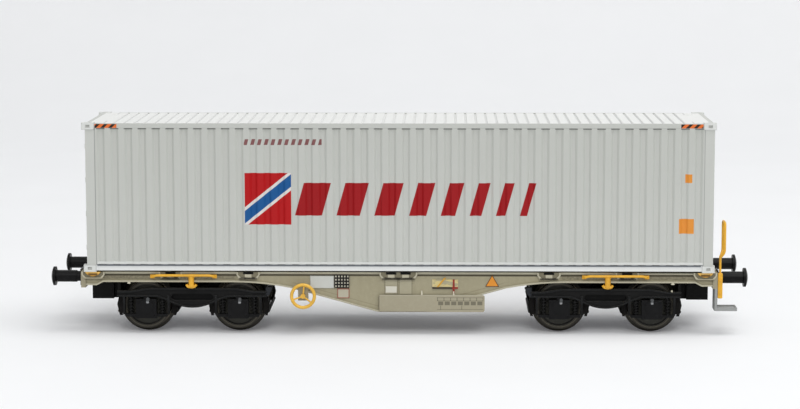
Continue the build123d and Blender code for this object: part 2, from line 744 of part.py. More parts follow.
def draft_sill(sign):
    """Beam from the bolster to the headstock, with the drawbar's pin and washers."""
    x = (sign * (PIVOT_X + PIVOT_PLATE / 2), sign * SILL_HALF)
    beam = box(x, (-DRAFT_WIDTH / 2, DRAFT_WIDTH / 2), (DRAFT_LOW, CROSS_TOP))
    pin_x = sign * COUPLER_PIN_X
    head = COUPLER_TOP - RUNNING
    beam += rod_along_z(COUPLER_PIN, (head, DRAFT_LOW), pin_x)
    beam += rod_along_z(WASHER_DIAMETER, (BAR_TOP + RUNNING, DRAFT_LOW), pin_x)
    beam += rod_along_z(WASHER_DIAMETER, (head - COUPLER_OVER + 2 * RUNNING, head), pin_x)
    return beam


def buffers(sign):
    """Two buffers on one headstock: plate, housing, sleeve and domed head."""
    pieces = []
    start = FRAME_HALF + BUFFER_PLATE_THICKNESS
    neck = start + BUFFER_HOUSING_LENGTH
    reach = FRAME_HALF + BUFFER_REACH
    head = reach - BUFFER_DOME
    profile = [
        (start, 0), (start, BUFFER_HOUSING / 2), (neck, BUFFER_HOUSING / 2), (neck, BUFFER_SLEEVE / 2),
        (head - BUFFER_RIM, BUFFER_SLEEVE / 2), (head - BUFFER_RIM, BUFFER_HEAD / 2), (head, BUFFER_HEAD / 2),
    ]
    edges = [Line((a[0], 0, a[1]), (b[0], 0, b[1])) for a, b in zip(profile, profile[1:])]
    edges.append(TangentArc((reach, 0, 0), (head, 0, BUFFER_HEAD / 2), tangent=(0, 0, 1)))
    edges.append(Line((reach, 0, 0), (start, 0, 0)))
    turned = revolve(Face(Wire(edges)), Axis.X)
    half = BUFFER_PLATE / 2
    piece = turned + box((FRAME_HALF, start), (-half, half), (-half, half))
    for y in (-BUFFER_SPACING / 2, BUFFER_SPACING / 2):
        placed = Pos(0, y, SILL_TOP - BUFFER_DROP) * piece
        pieces.append(placed if sign > 0 else mirror(placed, about=Plane.YZ))
    return pieces


# Fittings on the side sills

def tray(x, top_width, bottom_width, slots, sy):
    """Folding-lock tray: a tapered plate with a sunk face, lips and slots in its top edge."""
    face, back = sy * (SILL_Y + POCKET_PROUD), sy * SILL_Y
    sunk = sy * (SILL_Y + POCKET_PROUD - POCKET_SINK)
    wide, narrow = top_width / 2, bottom_width / 2
    low = SILL_TOP - POCKET_DEPTH
    plate = upright(
        [(x - narrow, low), (x + narrow, low), (x + wide, CROSS_TOP), (x + wide, SILL_HIGH),
         (x - wide, SILL_HIGH), (x - wide, CROSS_TOP)],
        (back, face),
    )
    rim = POCKET_RIM
    plate -= upright(
        [(x - narrow + rim, low + rim), (x + narrow - rim, low + rim),
         (x + wide - rim, CROSS_TOP), (x + wide - rim, SILL_HIGH + 1), (x - wide + rim, SILL_HIGH + 1),
         (x - wide + rim, CROSS_TOP)],
        (sunk, face + sy),
    )
    slot_low = SILL_HIGH - POCKET_SLOT_DEPTH
    for slot_x in slots:
        half = POCKET_LIP / 2
        plate += box((slot_x - half, slot_x + half), (back, face), (low, slot_low))
        half = POCKET_SLOT / 2
        slot_y = (sunk - sy * POCKET_SINK / 2, face + sy)
        plate -= box((slot_x - half, slot_x + half), slot_y, (slot_low, SILL_HIGH + 1))
    return plate


def twin_tray(sy):
    """Tray of the two middle locks, with their stems on the web."""
    extra = 2 * TWIN_SPREAD
    plate = tray(0, POCKET_TOP_WIDTH + extra, POCKET_BOTTOM_WIDTH + extra, (-TWIN_SPREAD, TWIN_SPREAD), sy)
    for x in (-TWIN_SPREAD, TWIN_SPREAD):
        plate += box(
            (x - STEM_WIDTH / 2, x + STEM_WIDTH / 2),
            (sy * WEB_OUT, sy * (WEB_OUT + STEM_PROUD)),
            (SILL_TOP - STEM_DEPTH, CROSS_TOP),
        )
        plate += box(
            (x - POCKET_LIP / 2, x + POCKET_LIP / 2),
            (sy * WEB_OUT, sy * (SILL_Y + POCKET_PROUD)),
            (SILL_TOP - POCKET_DEPTH, CROSS_TOP),
        )
    return plate


def pockets(sy):
    trays = [twin_tray(sy)]
    corner = CASTING_X - CORNER_TRAY_INSET
    for place in POCKET_PLACES + (corner,):
        slots = () if place == corner else (0,)
        for sx in (-1, 1):
            at = sx * place
            places = [at + slot for slot in slots]
            trays.append(tray(at, POCKET_TOP_WIDTH, POCKET_BOTTOM_WIDTH, places, sy))
    return trays


def corner_seats():
    """Seat under each corner casting with the spigot that enters its hole."""
    seats = []
    for x, y, sx, sy in four_corners(CASTING_X, CASTING_Y):
        along = (x - CASTING_LENGTH / 2, x + CASTING_LENGTH / 2)
        pad = box(along, (sy * SILL_IN, sy * SILL_Y), (SILL_HIGH, DECK_HEIGHT))
        section = SlotOverall(HOLE_LENGTH - 2 * SPIGOT_GAP, HOLE_WIDTH - 2 * SPIGOT_GAP)
        seats.append(pad + Pos(x, y, DECK_HEIGHT) * extrude(section, amount=SPIGOT_HEIGHT))
    return seats


def corner_locks():
    """Curved yellow lock in the tray at each corner."""
    locks = []
    for x, y, sx, sy in four_corners(CASTING_X - CORNER_TRAY_INSET, SILL_Y + POCKET_PROUD):
        half = LOCK_WIDTH / 2
        top = SILL_TOP + LOCK_RISE
        left, right = (x - half, y, top), (x + half, y, top)
        dip = (x, y, top - LOCK_DIP)
        face = Face(Wire([Line(left, right), ThreePointArc(left, dip, right)]))
        locks.append(extrude(face, amount=LOCK_PROUD, dir=(0, sy, 0)))
    return locks


def handrails():
    """Yellow bar beside each bogie, its ends bent back to the sill."""
    bars = []
    for x, root, sx, sy in four_corners(PIVOT_X, SILL_Y):
        out = root + sy * HANDRAIL_PROUD
        z = SILL_TOP - HANDRAIL_DROP
        outer, inner = x + sx * HANDRAIL_OUT, x - sx * HANDRAIL_IN
        points = [(outer, root, z), (outer, out, z), (inner, out, z), (inner, root, z)]
        bars.append(bent_bar(HANDRAIL_DIAMETER, points))
    return bars


def rope_hooks():
    """Double-horned rope hook hanging in front of the sill at each bogie."""
    hooks = []
    shank, horn = HOOK_SHANK / 2, HOOK_WIDTH / 2
    top, low = -HOOK_TOP_DROP, -HOOK_DROP
    outline = [
        # across, up from the sill's top
        (-shank, top), (-shank, low + HOOK_THROAT), (-horn, low + HOOK_TIP),
        (HOOK_INSET - horn, low + HOOK_CURVE), (HOOK_INSET - shank, low),
        (shank - HOOK_INSET, low), (horn - HOOK_INSET, low + HOOK_CURVE),
        (horn, low + HOOK_TIP), (shank, low + HOOK_THROAT), (shank, top),
    ]
    for x, y, sx, sy in four_corners(PIVOT_X, SILL_Y):
        placed = [(x + across, SILL_TOP + up) for across, up in outline]
        hooks.append(upright(placed, (y, y + sy * HOOK_THICKNESS)))
    return hooks


def lettering_boards():
    """Blank board under the middle of each sill, with rounded corners."""
    boards = []
    for sy in (-1, 1):
        x = (sy * BOARD_START, -sy * (BOARD_LENGTH - BOARD_START))
        z = (SILL_TOP - BOARD_DROP - BOARD_HEIGHT, SILL_TOP - BOARD_DROP)
        board = box(x, (sy * SILL_Y, sy * (SILL_Y + BOARD_THICKNESS)), z)
        boards.append(fillet(board.edges().filter_by(Axis.Y), BOARD_CORNER))
    return boards


def label_grids():
    """Pierced clip plate for paper labels on each sill."""
    grids = []
    top = CROSS_TOP - (LABEL_DROP - FLANGE_THICKNESS)
    cell_x, cell_z = GRID_LENGTH / GRID_COLUMNS, GRID_HEIGHT / GRID_ROWS
    for sy in (-1, 1):
        start = sy * GRID_START
        y = (sy * WEB_OUT, sy * (SILL_Y + GRID_BAR / 2))
        plate = box((start, start + sy * GRID_LENGTH), y, (top - GRID_HEIGHT, top))
        for column in range(GRID_COLUMNS):
            for row in range(GRID_ROWS):
                x = start + sy * (column + 0.5) * cell_x
                z = top - (row + 0.5) * cell_z
                hole = Box(cell_x - GRID_BAR, 2 * WEB_RECESS, cell_z - GRID_BAR)
                plate -= Pos(x, y[1], z) * hole
        grids.append(plate)
    return grids


def brake_levers():
    """Brake changeover plate on each web: scale, slanted lever, rod and knob."""
    pieces = []
    length, height = LEVER_PLATE
    top = SILL_TOP - LEVER_DROP
    rod = LEVER_ROD
    for sy in (-1, 1):
        x = -sy * LEVER_X
        front = sy * (WEB_OUT + LEVER_THICKNESS)
        plate = box((x - length / 2, x + length / 2), (sy * WEB_OUT, front), (top - height, top))
        lever = upright(
            [(x - length / 3, top - height), (x - length / 3 + rod, top - height),
             (x + rod / 2, top + rod), (x - rod / 2, top + rod)],
            (front, front + sy * LEVER_THICKNESS),
        )
        bar_z = top - height - rod
        bar_y = (sy * WEB_OUT, front + sy * LEVER_THICKNESS)
        plate += box((x - length / 2, x + length / 2), bar_y, (bar_z, bar_z + rod))
        knob_x = -sy * LEVER_KNOB_X
        knob_z = (bar_z - LEVER_KNOB / 2, bar_z + LEVER_KNOB / 2)
        plate += box((knob_x - rod / 2, knob_x + rod / 2), bar_y, knob_z)
        pieces += [plate, lever]
    return pieces


def handwheel(x, y, z):
    """Brake handwheel: an eight-sided rim section turned about its hub, and spokes."""
    middle = (HANDWHEEL_DIAMETER - HANDWHEEL_RIM) / 2
    section = Plane.XZ * (Pos(middle, 0) * octagon(HANDWHEEL_RIM))
    wheel = Rot(90, 0, 0) * revolve(section, Axis.Z)
    half = HANDWHEEL_RIM / 2
    wheel += rod_along_y(HANDWHEEL_HUB, (-half, half))
    for turn in range(HANDWHEEL_SPOKES):
        spoke = Pos(0, 0, middle / 2) * Box(SPOKE_WIDTH, SPOKE_WIDTH, middle)
        wheel += Rot(0, 360 * turn / HANDWHEEL_SPOKES, 0) * spoke
    return Pos(x, y, z) * wheel


def handwheels():
    """Handwheel on a forked bracket in front of each sill."""
    wheels, brackets = [], []
    for sy in (-1, 1):
        x, z = sy * HANDWHEEL_X, SILL_TOP - HANDWHEEL_DROP
        y = sy * (SILL_Y + HANDWHEEL_PROUD)
        wheels.append(handwheel(x, y, z))
        plate_y = (sy * SILL_Y, sy * (SILL_Y + BRACKET_THICKNESS))
        half = BRACKET_WIDTH / 2
        top = SILL_TOP - belly_depth(HANDWHEEL_X) + BRACKET_LAP
        low = z - HANDWHEEL_HUB
        bracket = box((x - half, x + half), plate_y, (low, top))
        fork = half - BRACKET_LEG
        bracket -= box((x - fork, x + fork), plate_y, (z + HANDWHEEL_HUB / 2, top))
        bracket += rod_along_y(SPINDLE_DIAMETER, (plate_y[0], y - sy * HANDWHEEL_RIM / 2), x, z)
        brackets.append(bracket)
    return wheels, brackets


# Fittings at the right end

def end_railing():
    """Grab loop on its post at one corner of the right end."""
    thick = RAILING_DIAMETER
    x = FRAME_HALF + RAILING_PLATE / 2
    y = -(SILL_Y - thick)
    post = box(
        (FRAME_HALF, FRAME_HALF + RAILING_PLATE), (-SILL_Y, -SILL_Y + 2 * thick),
        (SILL_TOP - POST_DROP, SILL_TOP + thick / 4),
    )
    foot = SILL_TOP + LOOP_RISE
    stem = bar_along_z(thick, (SILL_TOP, foot + thick), x, y)
    out = x + RAILING_STAND_OFF
    near, far = y - LOOP_NEAR, y + LOOP_FAR
    top = SILL_TOP + LOOP_TOP_RISE - thick / 2
    hoop = bent_bar(
        thick,
        [(x, y, foot), (out, near, foot + LOOP_BEND), (out, near, top),
         (out, far, top), (out, far, foot + LOOP_BEND), (x, y + thick / 2, foot)],
    )
    return post + stem + hoop


def end_step():
    """Step plate with a sunk tread, on its hanger under the railing."""
    low = SILL_TOP - STEP_DROP
    y = (-SILL_Y, -SILL_Y + STEP_DEPTH)
    hanger = box((FRAME_HALF - STEP_HANGER, FRAME_HALF), y, (low, SILL_TOP - HEADSTOCK_DEPTH))
    plate = box((FRAME_HALF, FRAME_HALF + STEP_LENGTH), y, (low, low + STEP_THICKNESS))
    plate -= box(
        (FRAME_HALF + STEP_RIM, FRAME_HALF + STEP_LENGTH - STEP_RIM),
        (y[0] + STEP_RIM, y[1] - STEP_RIM),
        (low + STEP_THICKNESS - STEP_SINK, low + STEP_THICKNESS + 1),
    )
    return hanger + plate


# Brake gear

def air_reservoir():
    """Brake air tank across the frame with its two straps."""
    x, z = TANK_PLACE * PIVOT_X, SILL_TOP - TANK_DROP
    half = TANK_LENGTH / 2
    tank = rod_along_y(TANK_DIAMETER, (-half, half), x, z)
    tank += rod_along_y(TANK_END_DIAMETER, (-half - TANK_END, half + TANK_END), x, z)
    strap = (x - STRAP_WIDTH / 2, x + STRAP_WIDTH / 2)
    for sy in (-1, 1):
        y = (sy * BEARER_Y, sy * (BEARER_Y + BEARER_SIZE))
        tank += box(strap, y, (z, CROSS_TOP - BEARER_SIZE))
    return tank


def brake_cylinder():
    """Brake cylinder lengthwise under the frame with its hanger."""
    x, z = -CYLINDER_PLACE * PIVOT_X, SILL_TOP - CYLINDER_DROP
    ahead = x + CYLINDER_AHEAD
    back = ahead - CYLINDER_LENGTH
    body = rod_along_x(CYLINDER_DIAMETER, (back, ahead), 0, z)
    body += rod_along_x(PUSH_ROD, (back - PUSH_ROD_LENGTH, back), 0, z)
    half = STRAP_WIDTH / 2
    beam = (CROSS_TOP - BEARER_SIZE, CROSS_TOP)
    body += box((x - half, x + half), (-STRAP_WIDTH, STRAP_WIDTH), (z, beam[1]))
    body += box((x - half, x + half), (-BEARER_Y, BEARER_Y), beam)
    return body


def underframe():
    for name, sign in SIDES:
        write(f"side_sill_{name}", side_sill(sign))
        write(f"lock_pockets_{name}", *pockets(sign))
    for name, sign in ENDS:
        write(f"headstock_{name}", headstock(sign))
        write(f"buffers_{name}", *buffers(sign))
    write("bolsters", bolster(-1), bolster(1))
    write("draft_sills", draft_sill(-1), draft_sill(1))
    write("cross_members", *cross_members())
    write("brake_bearers", *brake_bearers())
    write("corner_seats", *corner_seats())
    write("corner_locks", *corner_locks())
    write("handrails", *handrails())
    write("rope_hooks", *rope_hooks())
    write("lettering_boards", *lettering_boards())
    write("label_grids", *label_grids())
    write("brake_levers", *brake_levers())
    wheels, brackets = handwheels()
    write("handwheels", *wheels)
    write("handwheel_brackets", *brackets)
    write("end_railing", end_railing())
    write("end_step", end_step())
    write("air_reservoir", air_reservoir())
    write("brake_cylinder", brake_cylinder())


# Couplers: a drawbar on a pin, with a socket block at its outer end

def coupler(sign):
    start = COUPLER_IN + NECK_SHOULDER
    outer = COUPLER_IN + COUPLER_LENGTH
    middle = (COUPLER_LOW + COUPLER_TOP) / 2
    bar_half, neck_half, half = BAR_WIDTH / 2, NECK_WIDTH / 2, COUPLER_WIDTH / 2
    bar = box((COUPLER_PIN_X, COUPLER_IN + NECK_LENGTH), (-bar_half, bar_half), (COUPLER_TOP, BAR_TOP))
    bar += rod_along_z(BAR_WIDTH, (COUPLER_TOP, BAR_TOP), COUPLER_PIN_X)
    neck = box((COUPLER_IN, COUPLER_IN + NECK_LENGTH), (-neck_half, neck_half), (COUPLER_LOW, BAR_TOP))
    block = box((start, outer), (-half, half), (COUPLER_LOW, COUPLER_TOP))
    whole = bar + neck + block
    whole -= box(
        (start + SOCKET_WALL, outer + 1),
        (-SOCKET_WIDTH / 2, SOCKET_WIDTH / 2),
        (middle - SOCKET_HEIGHT / 2, middle + SOCKET_HEIGHT / 2),
    )
    whole -= rod_along_z(COUPLER_PIN + 2 * RUNNING, (COUPLER_TOP - 1, BAR_TOP + 1), COUPLER_PIN_X)
    return whole if sign > 0 else mirror(whole, about=Plane.YZ)


# Bogies

def frame_outline(y, grow):
    """Face of the side frame: level top falling towards its ends, belly in an arc."""
    axle = WHEELBASE / 2
    right = [
        (axle - FRAME_TOP_INSET, y, FRAME_TOP + grow),
        (axle - FRAME_TOP_INSET + FRAME_TOP_RAMP, y, FRAME_LOW_TOP + grow),
        (BOGIE_HALF, y, FRAME_LOW_TOP + grow),
        (BOGIE_HALF, y, FRAME_BOTTOM - grow),
        (BELLY_REACH + BELLY_RAMP, y, FRAME_BOTTOM - grow),
        (BELLY_REACH, y, BELLY_SIDE - grow),
    ]
    left = [(-px, py, pz) for px, py, pz in right]
    edges = [Line(half[i], half[i + 1]) for half in (right, left) for i in range(5)]
    edges.append(Line(left[0], right[0]))
    lowest = (0, y, AXLE_HEIGHT - BELLY_LOW_DROP - grow)
    edges.append(ThreePointArc(left[5], lowest, right[5]))
    return Face(Wire(edges))


def side_frame(sy):
    """Side frame with its belly, rimmed outer face, middle window and axle-box guides."""
    inner, outer, edge = sy * FRAME_INSIDE, sy * (FRAME_INSIDE + FRAME_THICKNESS), sy * FRAME_EDGE
    low, high = sorted((inner, edge))
    frame = extrude(frame_outline(low, 0), amount=high - low, dir=(0, 1, 0))
    low, high = sorted((outer, edge))
    frame -= extrude(frame_outline(low, -FRAME_RIB), amount=high - low, dir=(0, 1, 0))
    sunk = FRAME_THICKNESS - WINDOW_BACK
    opening = extrude(SlotOverall(WINDOW_LENGTH, WINDOW_TALL), amount=sunk, both=True)
    frame -= Pos(0, outer, AXLE_HEIGHT + WINDOW_RISE) * Rot(90, 0, 0) * opening
    for axle in (-1, 1):
        for guide in (-1, 1):
            x = axle * WHEELBASE / 2 + guide * GUIDE_REACH
            frame += box(
                (x - GUIDE_WIDTH / 2, x + GUIDE_WIDTH / 2), (inner, edge),
                (AXLE_HEIGHT - GUIDE_DROP, FRAME_BOTTOM + FRAME_RIB),
            )
    return frame


def axle_box(x, sy):
    """Axle box with spring seats, a cover, a blind journal hole and a cap under the frame."""
    inner, outer = sy * (FRAME_INSIDE - PLATE_GAP), sy * (FRAME_INSIDE + FRAME_THICKNESS + BOX_PROUD)
    low, top = AXLE_HEIGHT - BOX_DROP, AXLE_HEIGHT + BOX_TOP_RISE
    body = box((x - BOX_WIDTH / 2, x + BOX_WIDTH / 2), (inner, outer), (low, top))
    seat = GUIDE_REACH - GUIDE_WIDTH / 2 - PLATE_GAP
    seat_top = AXLE_HEIGHT - SEAT_DROP
    body += box((x - seat, x + seat), (inner, sy * FRAME_EDGE), (seat_top - SEAT_THICKNESS, seat_top))
    body += bar_along_z(BOX_CAP, (top - BOX_CAP, FRAME_BOTTOM), x, outer - sy * BOX_CAP / 2)
    cover = Rot(90, 0, 0) * extrude(octagon(BOX_COVER), amount=BOX_COVER_PROUD, both=True)
    body += Pos(x, outer, AXLE_HEIGHT) * cover
    reach = sy * (AXLE_HALF + JOURNAL_ROOM)
    return body - rod_along_y(JOURNAL_DIAMETER + 2 * RUNNING, (inner - sy, reach), x, AXLE_HEIGHT)


def springs(x, sy):
    """Springs either side of the axle box, the inner one under the belly's ramp."""
    pieces = []
    y = (sy * FRAME_INSIDE + sy * FRAME_EDGE) / 2
    slope = (FRAME_BOTTOM - BELLY_SIDE) / BELLY_RAMP
    for side in (-1, 1):
        at = x + side * SPRING_REACH
        past = abs(at) - SPRING_DIAMETER / 2 - BELLY_REACH
        top = min(FRAME_BOTTOM, BELLY_SIDE + slope * past)
        pieces.append(bar_along_z(SPRING_DIAMETER, (AXLE_HEIGHT - SEAT_DROP, top), at, y))
    return pieces


def brake_shoe(axle_side, shoe_side, sy):
    """Brake block and its hanger in the plane of the tread."""
    x = axle_side * WHEELBASE / 2
    out = shoe_side
    y = (sy * (BACK_TO_BACK / 2 + FLANGE_WIDTH + SHOE_INSET), sy * WHEEL_OUT)
    ring = rod_along_y(2 * SHOE_BACK, y, x, AXLE_HEIGHT)
    ring -= rod_along_y(2 * (TREAD + SHOE_GAP), y, x, AXLE_HEIGHT)
    far = SHOE_BACK + 1
    low, high = AXLE_HEIGHT - SHOE_SPREAD, AXLE_HEIGHT + SHOE_SPREAD
    wedge = upright([(x, AXLE_HEIGHT), (x + out * far, low), (x + out * far, high)], y)
    block = ring & wedge
    lap = SHOE_BACK - HANGER_THICKNESS / 4
    back = lap + HANGER_BULGE
    mid = (y[0] + y[1]) / 2
    low = AXLE_HEIGHT - HANGER_DROP
    outline = [
        # from the axle, height
        (back - HANGER_THICKNESS - HANGER_BULGE, HANGER_TOP), (back - HANGER_BULGE, HANGER_TOP),
        (back + HANGER_THICKNESS / 4, AXLE_HEIGHT), (back - HANGER_BULGE, low),
        (back - HANGER_THICKNESS - HANGER_BULGE, low), (lap, AXLE_HEIGHT),
    ]
    hanger = upright(
        [(x + out * reach, z) for reach, z in outline], (mid - HANGER_WIDTH / 2, mid + HANGER_WIDTH / 2)
    )
    return block + hanger


def brake_beam(axle_side, shoe_side):
    """Beam across the bogie between the hangers of two opposite shoes."""
    x = axle_side * WHEELBASE / 2 + shoe_side * SHOE_BACK
    half = (BACK_TO_BACK / 2 + FLANGE_WIDTH + SHOE_INSET + WHEEL_OUT) / 2 - HANGER_WIDTH / 2
    z = AXLE_HEIGHT - BRAKE_BEAM_DROP
    beam = Rot(90, 0, 0) * extrude(octagon(BRAKE_BEAM), amount=half, both=True)
    return Pos(x, 0, z) * beam


def transom():
    """Cross piece of the bogie with its centre plate and the lugs of the inner hangers."""
    plate = box((-TRANSOM_HALF, TRANSOM_HALF), (-FRAME_INSIDE, FRAME_INSIDE), (TRANSOM_LOW, TRANSOM_TOP))
    plate += rod_along_z(PIVOT_PLATE, (TRANSOM_TOP, BOGIE_PLATE_TOP))
    plate -= rod_along_z(PIVOT_DIAMETER + 2 * RUNNING, (TRANSOM_LOW - 1, BOGIE_PLATE_TOP + 1))
    reach = WHEELBASE / 2 - SHOE_BACK + HANGER_THICKNESS / 2
    for x, y, sx, sy in four_corners(TRANSOM_HALF, WHEEL_OUT):
        plate += box((x, sx * reach), (y, y - sy * LUG_WIDTH), (HANGER_TOP, HANGER_TOP + LUG_HEIGHT))
    return plate


def inner_beams():
    """Lengthwise beams between the transom and the end beams, inside the wheels."""
    beams = []
    out = BACK_TO_BACK / 2 - INNER_BEAM_ROOM
    height = (AXLE_HEIGHT + INNER_BEAM_LOW_RISE, AXLE_HEIGHT + INNER_BEAM_RISE)
    for x, y, sx, sy in four_corners(TRANSOM_HALF, out):
        beams.append(box((x, sx * (BOGIE_HALF - END_BEAM)), (y, y - sy * INNER_BEAM), height))
    return beams


def bogie(name, sign):
    place = Pos(sign * PIVOT_X, 0, 0)
    beams = []
    plate = (HANGER_TOP, AXLE_HEIGHT + INNER_BEAM_RISE)
    for side in (-1, 1):
        x = (side * (BOGIE_HALF - END_BEAM), side * BOGIE_HALF)
        beam = box(x, (-FRAME_INSIDE, FRAME_INSIDE), (HANGER_TOP, FRAME_LOW_TOP - PLATE_GAP))
        for sy in (-1, 1):
            beam += box(x, (sy * END_PLATE_IN, sy * FRAME_INSIDE), plate)
        beams.append(beam)
    write(f"bogie_{name}_side_frames", place * side_frame(-1), place * side_frame(1))
    lengthwise_beams = [place * beam for beam in inner_beams()]
    write(f"bogie_{name}_transom", place * transom(), *lengthwise_beams)
    write(f"bogie_{name}_end_beams", *[place * beam for beam in beams])
    corners = [(axle, sy) for axle in (-1, 1) for sy in (-1, 1)]
    boxes = [place * axle_box(axle * WHEELBASE / 2, sy) for axle, sy in corners]
    write(f"bogie_{name}_axle_boxes", *boxes)
    coils = [place * coil for axle, sy in corners for coil in springs(axle * WHEELBASE / 2, sy)]
    write(f"bogie_{name}_springs", *coils)
    shoes = [place * brake_shoe(axle, side, sy) for axle, sy in corners for side in (-1, 1)]
    rigging = [place * brake_beam(axle, side) for axle in (-1, 1) for side in (-1, 1)]
    write(f"bogie_{name}_brake_shoes", *shoes, *rigging)


# Wheelsets

def wheel_profile():
    """Half section of a wheel: radius and distance from its inner face."""
    rim = TREAD - RIM_THICKNESS
    bore = AXLE_DIAMETER / 2
    return [
        (bore, 0), (FLANGE_RADIUS - FLANGE_TIP, 0), (FLANGE_RADIUS, FLANGE_TIP), (TREAD, FLANGE_WIDTH),
        (TREAD, WHEEL_WIDTH), (rim, WHEEL_WIDTH),
        (rim, WHEEL_WIDTH - WEB_SINK), (bore, WHEEL_WIDTH - WEB_SINK),
    ]


def wheelset(x):
    wheels = []
    for sy in (-1, 1):
        points = [(radius, sy * (BACK_TO_BACK / 2 + out), 0) for radius, out in wheel_profile()]
        wheel = revolve(make_face(Polyline(points, close=True)), Axis.Y)
        wheels.append(Pos(x, 0, AXLE_HEIGHT) * wheel)
    axle = rod_along_y(AXLE_DIAMETER, (-WHEEL_OUT, WHEEL_OUT), x, AXLE_HEIGHT)
    axle += rod_along_y(JOURNAL_DIAMETER, (-AXLE_HALF, AXLE_HALF), x, AXLE_HEIGHT)
    return wheels, axle


os.makedirs("parts", exist_ok=True)
container()
underframe()
number = 0
for name, sign in ENDS:
    write(f"coupler_{name}", coupler(sign))
    bogie(name, sign)
    for axle_side in (-1, 1):
        number += 1
        wheels, axle = wheelset(sign * PIVOT_X + axle_side * WHEELBASE / 2)
        write(f"wheels_{number}", *wheels)
        write(f"axle_{number}", axle)
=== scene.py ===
from math import cos, pi, radians, sin, tau

import bmesh
import bpy
from mathutils import Matrix, Vector


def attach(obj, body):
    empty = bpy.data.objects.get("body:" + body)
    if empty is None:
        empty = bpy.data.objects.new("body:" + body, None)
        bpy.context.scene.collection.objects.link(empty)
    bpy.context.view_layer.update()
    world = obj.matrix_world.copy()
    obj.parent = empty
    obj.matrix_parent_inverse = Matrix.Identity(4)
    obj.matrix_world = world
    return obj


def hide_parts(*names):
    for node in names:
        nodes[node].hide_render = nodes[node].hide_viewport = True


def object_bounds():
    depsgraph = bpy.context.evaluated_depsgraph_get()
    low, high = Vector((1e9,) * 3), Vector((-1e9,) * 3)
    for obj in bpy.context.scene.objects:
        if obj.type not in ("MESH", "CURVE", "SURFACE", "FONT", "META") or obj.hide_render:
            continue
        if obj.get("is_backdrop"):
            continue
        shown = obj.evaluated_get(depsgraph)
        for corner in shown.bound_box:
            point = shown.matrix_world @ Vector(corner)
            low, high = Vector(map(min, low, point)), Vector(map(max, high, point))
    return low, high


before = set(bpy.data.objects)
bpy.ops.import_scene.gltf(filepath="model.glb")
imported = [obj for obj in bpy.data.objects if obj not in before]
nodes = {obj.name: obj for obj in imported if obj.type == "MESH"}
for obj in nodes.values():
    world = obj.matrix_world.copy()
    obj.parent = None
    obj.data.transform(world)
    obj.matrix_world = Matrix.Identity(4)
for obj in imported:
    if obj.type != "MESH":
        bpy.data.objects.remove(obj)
cad_box = [list(corner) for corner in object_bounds()]
scene = bpy.context.scene
scene.view_settings.view_transform = "Standard"
mm = 0.001

# Camera: a long lens about half a metre from the near side, a little above
# the container, turned slightly to the left. Its place, turns and lens were
# fitted to the container's corners.
CAMERA_PLACE = (10.96, -519.71, 94.34)
CAMERA_TURN = 1.197
CAMERA_DIP = 7.432
CAMERA_ROLL = -0.06
SHIFT_PIXELS = 4.93
FRAME_PIXELS = 800
camera_data = bpy.data.cameras.new("camera")
camera_data.sensor_width = 36
camera_data.lens = 103.79
camera_data.shift_y = SHIFT_PIXELS / FRAME_PIXELS
camera_data.clip_start = 0.01
camera_data.clip_end = 20
camera = bpy.data.objects.new("camera", camera_data)
scene.collection.objects.link(camera)
camera.matrix_world = (
    Matrix.Translation([c * mm for c in CAMERA_PLACE])
    @ Matrix.Rotation(radians(CAMERA_TURN), 4, "Z")
    @ Matrix.Rotation(radians(90 - CAMERA_DIP), 4, "X")
    @ Matrix.Rotation(radians(CAMERA_ROLL), 4, "Z")
)
scene.camera = camera

# Floor and backdrop: one pale sheet that curves up behind the model. It looks
# near white from the front, and from behind or below it is seen through.
ROOM_HALF = 1400
ROOM_BACK = 750
BACK_HEIGHT = 1100
BACK_CURVE = 350
SHEET_GLOW = (84.62, 84.62, 86.86)
AT_EDGE = 10


def begin(*pieces):
    """Leaves edit mode and selects only these pieces, the first of them active."""
    if bpy.context.object and bpy.context.object.mode != "OBJECT":
        bpy.ops.object.mode_set(mode="OBJECT")
    bpy.ops.object.select_all(action="DESELECT")
    for piece in pieces[::-1]:
        piece.select_set(True)
        bpy.context.view_layer.objects.active = piece


def edit(piece, kind, test):
    """Goes into edit mode with only those faces, edges or vertices selected that pass."""
    begin(piece)
    bpy.ops.object.mode_set(mode="EDIT")
    bpy.ops.mesh.select_mode(type=kind)
    bpy.ops.mesh.select_all(action="DESELECT")
    mesh = bmesh.from_edit_mesh(piece.data)
    if kind == "FACE":
        for face in mesh.faces:
            face.select_set(bool(test(face.calc_center_median() / mm, face.normal)))
    elif kind == "EDGE":
        for edge in mesh.edges:
            first, last = (vertex.co for vertex in edge.verts)
            edge.select_set(bool(test((first + last) / 2 / mm, last - first)))
    else:
        for vertex in mesh.verts:
            vertex.select_set(bool(test(vertex.co / mm, vertex.normal)))
    mesh.select_flush_mode()
    bmesh.update_edit_mesh(piece.data)


begin()
bpy.ops.mesh.primitive_plane_add(size=1)
floor = bpy.context.object
floor.name = "floor"
bpy.ops.object.mode_set(mode="EDIT")
bpy.ops.transform.resize(value=(2 * ROOM_HALF * mm, (ROOM_HALF + ROOM_BACK) * mm, 1))
bpy.ops.transform.translate(value=(0, (ROOM_BACK - ROOM_HALF) / 2 * mm, 0))
edit(floor, "EDGE", lambda at, along: at.y > ROOM_BACK - AT_EDGE)
bpy.ops.mesh.extrude_region_move(TRANSFORM_OT_translate={"value": (0, 0, BACK_HEIGHT * mm)})
edit(floor, "EDGE", lambda at, along: at.y > ROOM_BACK - AT_EDGE and at.z < AT_EDGE)
bpy.ops.mesh.bevel(offset=BACK_CURVE * mm, segments=12, affect="EDGES")
bpy.ops.mesh.select_all(action="SELECT")
bpy.ops.mesh.normals_make_consistent(inside=True)
bpy.ops.object.mode_set(mode="OBJECT")
bpy.ops.object.shade_smooth()


